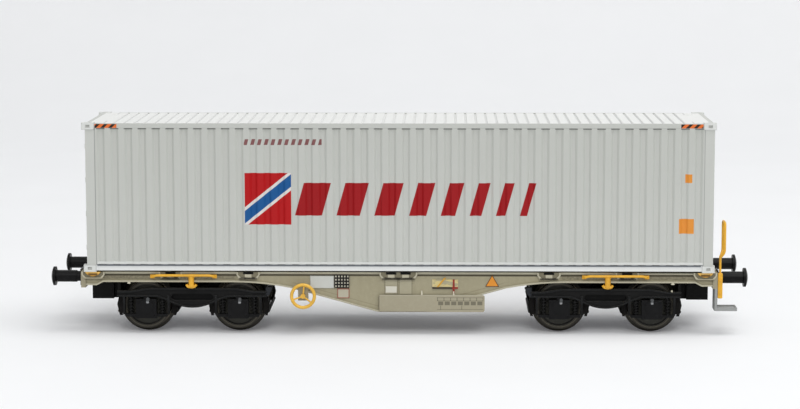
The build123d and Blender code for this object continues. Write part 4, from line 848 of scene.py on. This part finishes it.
# Data boards: separate plates glued to the sills, cast with square edges; a
# ruled table is printed at one end of each. Painted shade darkens the left and
# lower edges, and a painted highlight lightens the top edge.
BOARD_LOW = 5.25
BOARD_HIGH = 9.05
BOARD_LEFT = -4.4
TABLE_X = (8.6, 18.9)
TABLE_RULES = ((8.42, 8.54), (7.72, 7.84), (5.78, 5.9))
TABLE_TICKS = (9.4, 14.1)
CELL = 1.45
board_paint = frame_paint("board_paint", (170, 163, 141))
board_z = board_paint.z
board_x = board_paint.x * (1.0 - 2.0 * board_paint.y.over(0.0, 0.01))
table = board_x.between(*TABLE_X, 0.06)
first, second, third = (board_z.between(*rule, 0.05) for rule in TABLE_RULES)
columns = (1 - board_x.repeat(CELL).over(0.09, 0.05)) * board_z.between(7.75, 8.5, 0.05)
cells = board_x.repeat(CELL).over(0.16, 0.05) * board_z.between(6.8, 7.62, 0.05)
left_tick, right_tick = (board_x.near(tick, 0.08, 0.05) for tick in TABLE_TICKS)
ticks = (left_tick + right_tick) * board_z.between(5.8, 6.7, 0.05)
low_edge_shade = (1 - board_z.over(BOARD_LOW + 0.14, 0.08)) * (1 - board_x.over(7.0, 4.0))
# Painted shade along the left and lower edges, painted highlight along the top edge.
board_paint.mark((1 - board_x.over(BOARD_LEFT + 0.16, 0.1) + low_edge_shade) * 0.7, 84, 78, 60)
board_paint.mark(board_z.over(BOARD_HIGH - 0.12, 0.08) * 0.4, 206, 202, 184)
board_paint.mark(table * cells * 0.62, 70, 68, 56)
board_paint.mark(table * (first + second + third + columns + ticks) * 0.6, 78, 76, 62)
board_paint.put_on("lettering_boards")


# Pegs and studs: two small white pegs stand on the upper edge of each board,
# flat pale studs show under the sills beside the outer wheels, and one pale
# stud stands on each bogie frame.
def peg(x, y, low, high, radius):
    begin()
    bpy.ops.mesh.primitive_cone_add(
        vertices=8, radius1=radius * mm, radius2=radius * 0.55 * mm, depth=(high - low) * mm,
        location=(x * mm, y * mm, (low + high) / 2 * mm),
    )
    return settle(bpy.context.object, "peg")


PEGS = (
    # x, y, foot, head, radius
    (5.2, -12.95, 8.9, 10.0, 0.22),
    (12.3, -12.95, 8.9, 9.9, 0.22),
    (-60.15, -12.7, 11.45, 11.9, 0.42),
    (60.96, -12.7, 11.45, 11.9, 0.45),
)
pegs = both_sides("pale_pegs", [peg(*place) for place in PEGS])
cream.coat(pegs)
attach(pegs, "underframe")
for side, sign in SIDES:
    stud = peg(sign * 60.9, sign * -11.4, 9.3, 9.95, 0.3)
    stud.name = f"bogie_stud_{side}"
    cream.coat(stud)
    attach(stud, f"bogie_{side}")

# Brake changeover levers: a scale plate in the sill's colour with pale yellow
# markings and a slanted amber lever, over a dark rail with a red handle.
LEVER_BACK = 12.88
SCALE_LEFT = 7.8
SCALE_LOW = 10.98
RAIL_TOP = 10.82
lever_paint = Finish("brake_lever_paint", Specular_IOR_Level=0.4)
lever_noise = lever_paint.noise(0.8, 3.0)
streaks = lever_paint.noise(1.0, 3.0, (0.5, 1, 1.6)).over(0.52, 0.12)
lever_x, lever_z = abs(lever_paint.x), lever_paint.z
plate_edge = 1 - lever_x.over(SCALE_LEFT, 0.06) + 1 - lever_z.over(SCALE_LOW, 0.06)
rail = 1 - lever_z.over(RAIL_TOP, 0.04)
lever = abs(lever_paint.y).over(LEVER_BACK, 0.02) * (1 - rail)
handle = rail * lever_x.over(11.9, 0.1) + lever_x.between(12.08, 12.52, 0.03)
lever_paint.paint(lever_noise, (166, 158, 128), (180, 172, 142))
lever_paint.mark(streaks * 0.75, 226, 208, 140)
lever_paint.mark(plate_edge * 0.7, 222, 208, 156)
lever_paint.mark(lever, 216, 160, 50)
lever_paint.mark(rail, 58, 50, 40)
lever_paint.mark(handle, 142, 42, 30)
lever_paint.grain(lever_noise, 0.45, 0.2, 0.01)
lever_paint.put_on("brake_levers")


# Handrails: a bar on two feet runs past each bogie, bent from one wire; like
# all the yellow fittings it is warm yellow plastic with a satin surface.
def yellow_moulding(name, colour):
    finish = Finish(name, Specular_IOR_Level=0.45)
    clouds = finish.noise(1.8, 3.0)
    fine = finish.noise(0.25, 2.0)
    finish.paint(clouds.over(0.5, 0.7), [c * 0.88 for c in colour], colour)
    finish.grain(fine, 0.34, 0.14, 0.006)
    return finish


def rod(points, radius, bend=0.0):
    """Round wire through the points, its corners bent over a length."""
    begin()
    bpy.ops.mesh.primitive_plane_add(size=mm)
    wire = bpy.context.object
    bpy.ops.object.mode_set(mode="EDIT")
    bpy.ops.mesh.select_mode(type="VERT")
    bpy.ops.mesh.select_all(action="SELECT")
    bpy.ops.mesh.merge(type="CENTER")
    bpy.ops.transform.translate(value=[c * mm for c in points[0]])
    for start, end in zip(points, points[1:]):
        step = [(b - a) * mm for a, b in zip(start, end)]
        bpy.ops.mesh.extrude_vertices_move(TRANSFORM_OT_translate={"value": step})
    if bend:
        mesh = bmesh.from_edit_mesh(wire.data)
        for vertex in mesh.verts:
            vertex.select_set(len(vertex.link_edges) == 2)
        bmesh.update_edit_mesh(wire.data)
        bpy.ops.mesh.bevel(offset=bend * mm, segments=4, affect="VERTICES")
    bpy.ops.object.mode_set(mode="OBJECT")
    bpy.ops.object.convert(target="CURVE")
    wire = bpy.context.object
    wire.data.bevel_depth = radius * mm
    wire.data.bevel_resolution = 2
    wire.data.use_fill_caps = True
    bpy.ops.object.convert(target="MESH")
    bpy.ops.object.shade_smooth_by_angle(angle=radians(50))
    return bpy.context.object


RAIL_ROOT = -12.9
RAIL_Y = -13.8
RAIL_Z = 13.42
RAIL_FOOT_Z = 13.1
RAIL_OUTER = 8.7
RAIL_INNER = 5.2
RAIL_SHOULDER = 0.9
HOOK_PLACES = {-1: -PIVOT_X, 1: PIVOT_X + 0.35}
yellow = yellow_moulding("fitting_yellow", (246, 184, 48))
rails = []
for side in (-1, 1):
    ends = (HOOK_PLACES[side] + side * RAIL_OUTER, HOOK_PLACES[side] - side * RAIL_INNER)
    route = []
    for end, inwards in zip(ends, (-side, side)):
        half = [(end, RAIL_ROOT, RAIL_FOOT_Z), (end, RAIL_Y + 0.3, RAIL_FOOT_Z)]
        half.append((end + inwards * RAIL_SHOULDER, RAIL_Y, RAIL_Z))
        route += half[::-1] if route else half
    rails.append(rod(route, 0.29, 0.4))
    for end in ends:
        z = (RAIL_FOOT_Z - 0.42, RAIL_FOOT_Z + 0.42)
        foot = block("foot", (end - 0.5, end + 0.5), (RAIL_ROOT, RAIL_ROOT - 0.25), z, 0.1)
        rails.append(foot)
handrails = both_sides("handrail_rods", rails)
yellow.coat(handrails)
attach(handrails, "underframe")
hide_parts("handrails")

# Rope hooks: a stem comes down from the middle of each handrail and ends in
# two short upturned horns, like a small anchor.
HOOK_BACK = -13.1
HOOK_Y = -13.3
HOOK_FRONT = -13.5
HORNS = ((-1.12, 11.32), (-0.78, 10.84), (0.0, 10.7), (0.78, 10.84), (1.12, 11.32))
hooks = []
for x in HOOK_PLACES.values():
    hooks.append(rod([(x + across, HOOK_Y, z) for across, z in HORNS], 0.3, 0.2))
    hooks.append(block("web", (x - 0.85, x + 0.85), (HOOK_FRONT, HOOK_BACK), (10.75, 11.25), 0.12))
    hooks.append(rod([(x, HOOK_Y, 10.8), (x, HOOK_Y, 13.6)], 0.64))
    y = (HOOK_FRONT - 0.05, HOOK_BACK + 0.05)
    hooks.append(block("cheek", (x - 0.95, x + 0.95), y, (12.95, 13.5), 0.2))
hooks = both_sides("rope_hook_anchors", hooks)
yellow.coat(hooks)
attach(hooks, "underframe")
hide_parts("rope_hooks")

# Handwheels of the parking brake: a round rim on three thin spokes, with a
# stub hub on the spindle; a thin web closes the fork of the bracket behind it.
WHEEL_X = -21.2
WHEEL_Y = -14.3
WHEEL_Z = 8.9
RIM_RADIUS = 2.54
SPOKE_REACH = 2.5
SPOKE_TURNS = (6, 128, 250)
begin()
bpy.ops.mesh.primitive_torus_add(
    major_segments=44, minor_segments=10, major_radius=RIM_RADIUS * mm, minor_radius=0.37 * mm,
    location=(WHEEL_X * mm, WHEEL_Y * mm, WHEEL_Z * mm), rotation=(pi / 2, 0, 0),
)
wheel = [settle(bpy.context.object, "rim")]
bpy.ops.object.shade_smooth()
for turn in SPOKE_TURNS:
    dx, dz = SPOKE_REACH * sin(radians(turn)), SPOKE_REACH * cos(radians(turn))
    wheel.append(rod([(WHEEL_X, WHEEL_Y, WHEEL_Z), (WHEEL_X + dx, WHEEL_Y, WHEEL_Z + dz)], 0.19))
for front, back, radius in ((-0.3, 0.5, 0.55), (-0.36, -0.2, 0.3)):
    ends = [(WHEEL_X, WHEEL_Y + y, WHEEL_Z) for y in (front, back)]
    wheel.append(rod(ends, radius))
handwheels = both_sides("handwheel_rims", wheel)
web = block("web", (WHEEL_X - 0.75, WHEEL_X + 0.75), (-13.44, -12.85), (9.3, 10.7), 0.08)
webs = both_sides("handwheel_bracket_webs", [web])
frame_beige.coat(webs)
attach(webs, "underframe")
wheel_yellow = yellow_moulding("handwheel_yellow", (246, 194, 76))
wheel_yellow.coat(handwheels)
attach(handwheels, "underframe")
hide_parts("handwheels")

# End railing: a flat post bolted to the headstock, with a round stem and a
# wide grab loop above it, bent from one wire.
POST_X = 71.425
POST_Y = -12.5
LOOP_X = 72.25
LOOP_Y = (-13.25, -9.6)
LOOP_LOW = 18.7
LOOP_HIGH = 25.35
railing = [block("post", (70.92, 71.98), (-12.98, -12.02), (8.36, 14.02), 0.18)]
railing.append(rod([(POST_X, POST_Y, 13.6), (POST_X, POST_Y, 17.9)], 0.26))
loop = [
    (POST_X, POST_Y, 17.5),
    (LOOP_X, LOOP_Y[0], LOOP_LOW),
    (LOOP_X, LOOP_Y[0], LOOP_HIGH),
    (LOOP_X, LOOP_Y[1], LOOP_HIGH),
    (LOOP_X, LOOP_Y[1], LOOP_LOW),
    (POST_X, POST_Y + 0.2, 17.5),
]
railing.append(rod(loop, 0.3, 0.6))
for height in (9.6, 12.4):
    stud = bolt(0.26, 0.2, -1)
    railing.append(copy(stud, (POST_X, -12.96, height)))
    bpy.data.objects.remove(stud)
railing = join("railing_loop", railing)
yellow.coat(railing)
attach(railing, "underframe")
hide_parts("end_railing")

# Corner locks: curved yellow blocks set into the corner trays; a painted
# highlight lightens their upper edge, and painted shade turns the hollow below it dark gold.
CORNER_LOCK_X = 68.08
lock_yellow = yellow_moulding("lock_yellow", (240, 178, 60))
hollow_shade = abs(lock_yellow.x).near(CORNER_LOCK_X, 1.05, 0.3)
hollow_shade = hollow_shade * lock_yellow.z.between(13.34, 13.86, 0.1)
lock_yellow.mark(lock_yellow.z.over(13.84, 0.08) * 0.6, 246, 206, 120)
lock_yellow.mark(hollow_shade * 0.9, 84, 56, 6)
lock_yellow.put_on("corner_locks")

# End step: a grey moulded tread with a sunk, finely ribbed surface, on an arm
# that hangs from the headstock.
step_grey = Finish("step_grey", Specular_IOR_Level=0.4)
step_clouds = step_grey.noise(1.5, 3.0)
tread_ribs = step_grey.y.repeat(0.5).over(0.14, 0.08)
# Painted shade: the grooves between the ribs are painted darker.
step_grey.paint(step_clouds * 0.6 + 0.3 * tread_ribs, (148, 150, 149), (172, 174, 172))
step_grey.feed("Roughness", 0.45 + 0.15 * step_clouds)
step_grey.relief(tread_ribs, 0.05)
step_grey.put_on("end_step")


# Blind end: like the container's walls, roof, rails and doors it is moulded in
# pale grey plastic and lightly sprayed.
def container_grey(name, colour):
    finish = Finish(name, Specular_IOR_Level=0.3)
    clouds = finish.noise(14.0, 3.0)
    fine = finish.noise(0.3, 2.0)
    finish.paint(clouds.over(0.5, 0.6), [c - 3 for c in colour], colour)
    finish.grain(fine, 0.48, 0.16, 0.005)
    return finish


WALL_GREY = (200, 202, 197)
container_grey("container_grey", WALL_GREY).put_on("container_blind_end")

# Corner posts: plain square posts moulded with the side walls, with painted
# shade in the seam where each wall meets them.
WALL_FACE = 13.7
post_grey = container_grey("corner_post_grey", WALL_GREY)
seam_left = (0 - post_grey.x).between(67.05, 67.24, 0.05)
seam_right = post_grey.x.between(67.42, 67.58, 0.05)
seam_shade = (seam_left + seam_right) * abs(post_grey.y).over(WALL_FACE, 0.05)
post_grey.mark(seam_shade * 0.6, 110, 112, 112)
post_grey.put_on("container_corner_posts")

# Corner castings: small blocks with a lock hole in each outer face, slightly
# lighter than the posts, with painted shade along their joints and in the holes.
CASTING_X = 67.21
WALL_LOW = 15.79
WALL_HIGH = 45.99
HOLE_X = 68.63
HOLE_Y = 13.05
HOLE_HEIGHTS = (15.015, 46.765)
HOLE_HALF = 0.47
casting_grey = container_grey("corner_casting_grey", (220, 222, 219))
casting_x, casting_out, casting_z = abs(casting_grey.x), abs(casting_grey.y), casting_grey.z
joint_shade = casting_x.between(CASTING_X - 0.1, CASTING_X + 0.14, 0.05)
joint_shade = joint_shade + casting_z.between(WALL_HIGH - 0.1, WALL_HIGH + 0.15, 0.05)
joint_shade = joint_shade + casting_z.between(WALL_LOW - 0.15, WALL_LOW + 0.1, 0.05)
lower_holes, upper_holes = (casting_z.near(height, 0.33, 0.05) for height in HOLE_HEIGHTS)
level = lower_holes + upper_holes
side_middle = casting_x.near(HOLE_X, HOLE_HALF, 0.05)
side_hole = side_middle * level * casting_out.between(13.0, 13.96, 0.02)
end_hole = casting_out.near(HOLE_Y, HOLE_HALF, 0.05) * level * casting_x.between(69.6, 70.0, 0.02)
top_hole = casting_z.between(46.3, 47.5, 0.02) + casting_z.between(14.26, 15.2, 0.02)
top_hole = top_hole * side_middle * casting_out.near(HOLE_Y, 0.36, 0.04)
# Painted shade along the joints and in the lock holes.
casting_grey.mark(joint_shade * 0.25, 110, 110, 108)
casting_grey.mark((side_hole + end_hole + top_hole).at_most(1.0) * 0.5, 176, 176, 170)
casting_grey.put_on("container_corner_castings")

# Floor: moulded in one with its cross bearers; the underside is darker, with
# a plywood tint.
floor_brown = Finish("container_floor_brown", Specular_IOR_Level=0.2)
floor_grain = floor_brown.noise(2.4, 5.0, (0.25, 1, 1))
floor_brown.paint(floor_grain, (70, 68, 62), (104, 100, 90))
floor_brown.grain(floor_grain, 0.7, 0.15, 0.03)
floor_brown.put_on("container_floor")

# Bottom rails: near-white bars that carry the side walls, moulded with them,
# with a thin dark line along their upper edge and painted shade that darkens the face towards it.
LINE_LOW = 15.54
rail_white = container_grey("bottom_rail_white", (232, 234, 233))
rail_front = abs(rail_white.y).over(WALL_FACE, 0.05)
upper_line = rail_white.z.over(LINE_LOW, 0.06) * rail_front
upper_line = upper_line * (1 - abs(rail_white.x).over(67.0, 0.05))
# Painted shade: the face grades darker towards its upper edge.
rail_white.mark(rail_white.z.over(15.25, 0.6) * rail_front * 0.3, 140, 144, 144)
rail_white.mark(upper_line * 0.85, 72, 78, 90)
rail_white.put_on("container_bottom_rails")

# Foot strips: a flat bar closes the corrugations at the foot of each side
# wall, just above the dark line on the rail.
strip = block("strip", (-67.0, 67.4), (-13.84, -13.3), (15.98, 16.52), 0.06)
strips = both_sides("wall_foot_strips", [strip])
strip_grey = container_grey("foot_strip_grey", (218, 220, 217))
strip_grey.coat(strips)
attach(strips, "container")

# Top rails: carry an orange and black striped patch at each end, and have a
# fine line of painted shade along their lower edge.
PATCH_X = (62.2, 67.1)
PATCH_Z = (46.38, 47.26)
STRIPE_PITCH = 1.72
top_grey = container_grey("top_rail_grey", (196, 198, 193))
top_front = abs(top_grey.y).over(WALL_FACE, 0.05)
patch = abs(top_grey.x).between(*PATCH_X, 0.05) * top_grey.z.between(*PATCH_Z, 0.05) * top_front
slanted = top_grey.x * (top_grey.y.over(0.0, 0.01) * 2.0 - 1.0) + top_grey.z
stripe = slanted.repeat(STRIPE_PITCH).over(0.4, 0.08)
stripes = top_grey.mix(stripe, (34, 24, 18), (226, 112, 48))
top_grey.mark((1 - top_grey.z.over(46.42, 0.06)) * top_front * 0.4, 140, 142, 140)
top_grey.paint(patch, top_grey.colour, stripes)
top_grey.put_on("container_top_rails")

# Roof: a near-white sheet with light dust; painted shade greys its narrow grooves,
# mixed with the dust, and more so towards the ends, where a flat plate closes it.
ROOF_PITCH = 2.292
ROOF_RIBS_END = 64.1
roof_white = container_grey("roof_white", (232, 233, 231))
to_ends = abs(roof_white.x + 4.0) / 60.0
groove_shade = 1 - (roof_white.x - ROOF_PITCH / 2).repeat(ROOF_PITCH).over(0.2, 0.14)
groove_shade = groove_shade * (1 - abs(roof_white.x).over(ROOF_RIBS_END, 0.1)) * (0.5 + 0.9 * to_ends)
dust = roof_white.noise(4.0, 4.0)
plate_edge = abs(roof_white.x).near(65.13, 0.08, 0.06) * abs(roof_white.y).over(8.3, 0.1)
roof_white.mark(dust * 0.25, 222, 222, 218)
# Painted shade in the grooves, varied with the dust.
roof_white.mark(groove_shade * (0.18 + 0.16 * dust), 120, 122, 124)
roof_white.mark(plate_edge * 0.4, 150, 150, 150)
roof_white.put_on("container_roof")

# Doors: two leaves with sunk panels; a dark rubber gasket runs round each
# leaf, and rain has left streaks on them.
LEAF_IN = 0.28
LEAF_OUT = (11.72, 12.02)
LEAF_Z = (16.16, 45.62)
door_grey = container_grey("door_grey", WALL_GREY)
leaf, door_z = abs(door_grey.y), door_grey.z
outer_edge = leaf.over(LEAF_OUT[0], 0.08) * (1 - leaf.over(LEAF_OUT[1], 0.04))
gasket = 1 - leaf.over(LEAF_IN, 0.08) + outer_edge
gasket = gasket + door_z.over(LEAF_Z[1], 0.08) + 1 - door_z.over(LEAF_Z[0], 0.08)
gasket = gasket.at_most(1.0) * (1 - (0 - door_grey.x).over(69.35, 0.05))
streak = door_grey.noise(2.0, 4.0, (1, 1, 0.12)).over(0.62, 0.3)
door_grey.mark(streak * 0.2, 168, 164, 154)
door_grey.mark(gasket * 0.85, 46, 47, 48)
door_grey.put_on("container_door_near", "container_door_far")

# Door bars: four round locking bars with cams in keepers at both ends, three
# guides each and a handle laid across the leaf in its catch.
DOOR_FACE = -69.25
BAR_X = -69.46
BAR_Z = (15.3, 46.5)
HANDLE_Z = 25.5
HOLDERS = (
    # depth, half width, height, bevel, places: the keepers, then the guides
    (0.45, 0.45, 0.58, 0.1, (15.2, 46.0)),
    (0.42, 0.32, 0.42, 0.08, (20.6, 29.4, 38.2)),
)
bars = []
for y, toward in ((-8.6, 1), (-3.2, -1), (3.2, 1), (8.6, -1)):
    bars.append(rod([(BAR_X, y, z) for z in BAR_Z], 0.2))
    for depth, half, height, bevel, places in HOLDERS:
        x = (DOOR_FACE - depth, DOOR_FACE + 0.05)
        for low in places:
            bars.append(block("holder", x, (y - half, y + half), (low, low + height), bevel))
    handle = [(BAR_X - 0.05, y, HANDLE_Z + 0.1)]
    handle += [(BAR_X - 0.05, y + toward * reach, HANDLE_Z) for reach in (0.5, 2.4)]
    bars.append(rod(handle, 0.17, 0.2))
    x = (DOOR_FACE - 0.4, DOOR_FACE + 0.05)
    bars.append(block("catch", x, (y + toward * 1.6, y + toward * 2.1), (25.25, 25.85), 0.08))
door_bars = join("door_lock_rods", bars)
bar_grey = container_grey("door_bar_grey", (214, 215, 212))
bar_grey.coat(door_bars)
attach(door_bars, "container")
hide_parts("container_door_bars")

# Side walls: corrugated, with printed livery of plain bars: a block crossed
# by a blue band, a row of slanted red bars that thin out, and a line of ticks.
WAVE_START = 1.735
WAVE_PITCH = 3.07
BLOCK_X = (-34.0, -23.7)
BLOCK_Z = (24.9, 36.4)
BAND_HALF = 1.4
WHITE_HALF = 2.2
BAR_WIDTHS = (6.0, 5.2, 4.5, 3.8, 3.2, 2.6, 2.1, 1.6)
BAR_START = -21.9
BAR_GAP = 3.2
BARS_Z = (26.9, 34.2)
SLANT = 0.28
TICKS_X = (-34.1, -16.9)
TICKS_Z = (42.6, 43.9)
CARD_X = (62.0, 65.3)
CARD_Z = (23.0, 26.3)
SMALL_X = (63.3, 64.8)
SMALL_Z = (34.3, 36.2)


def side_wall(name, seen_from):
    """Wall finish; seen from the near side (1) or the far side (-1) it reads alike."""
    finish = container_grey(name, WALL_GREY)
    along, up = finish.x * seen_from, finish.z
    wave = (finish.x - WAVE_START).repeat(WAVE_PITCH)
    dash = (1 - wave.over(0.95, 0.1)) * up.over(46.08, 0.04)
    worn = finish.noise(0.8, 4.0).over(0.2, 0.1)
    square = along.between(*BLOCK_X, 0.05) * up.between(*BLOCK_Z, 0.05)
    across = (along - sum(BLOCK_X) / 2) * 0.8 - (up - sum(BLOCK_Z) / 2)
    white = across.between(-WHITE_HALF, WHITE_HALF, 0.07)
    band = across.between(-BAND_HALF, BAND_HALF, 0.07)
    lean = along - SLANT * (up - sum(BARS_Z) / 2)
    start = BAR_START
    bars = lean.between(start, start + BAR_WIDTHS[0], 0.06)
    for width, next_width in zip(BAR_WIDTHS, BAR_WIDTHS[1:]):
        start += width + BAR_GAP
        bars = bars + lean.between(start, start + next_width, 0.06)
    bars = bars * up.between(*BARS_Z, 0.05)
    ticks = (along - SLANT * up).repeat(1.5).over(0.36, 0.06)
    ticks = along.between(*TICKS_X, 0.05) * up.between(*TICKS_Z, 0.05) * ticks
    cards = along.between(*CARD_X, 0.05) * up.between(*CARD_Z, 0.05)
    cards = cards + along.between(*SMALL_X, 0.05) * up.between(*SMALL_Z, 0.05)
    # The wall is painted darker towards the top.
    finish.mark(up.over(34.0, 26.0) * 0.5, 186, 188, 182)
    finish.mark(square * worn, 178, 2, 10)
    finish.mark(square * white * worn, 222, 218, 214)
    finish.mark(square * band * worn, 14, 84, 146)
    finish.mark(bars * worn, 154, 2, 12)
    finish.mark(ticks * 0.85, 112, 16, 26)
    finish.mark(cards * worn, 226, 146, 58)
    # Painted shadow: dark dashes at the top of each groove, under the top rail.
    finish.mark(dash * 0.75, 60, 62, 60)
    finish.mark((1 - up.over(15.96, 0.05)) * 0.8, 82, 88, 98)
    return finish


side_wall("side_wall_near_print", 1).put_on("container_side_near")
side_wall("side_wall_far_print", -1).put_on("container_side_far")

size = {"cad": cad_box, "visual": [list(corner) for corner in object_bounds()]}
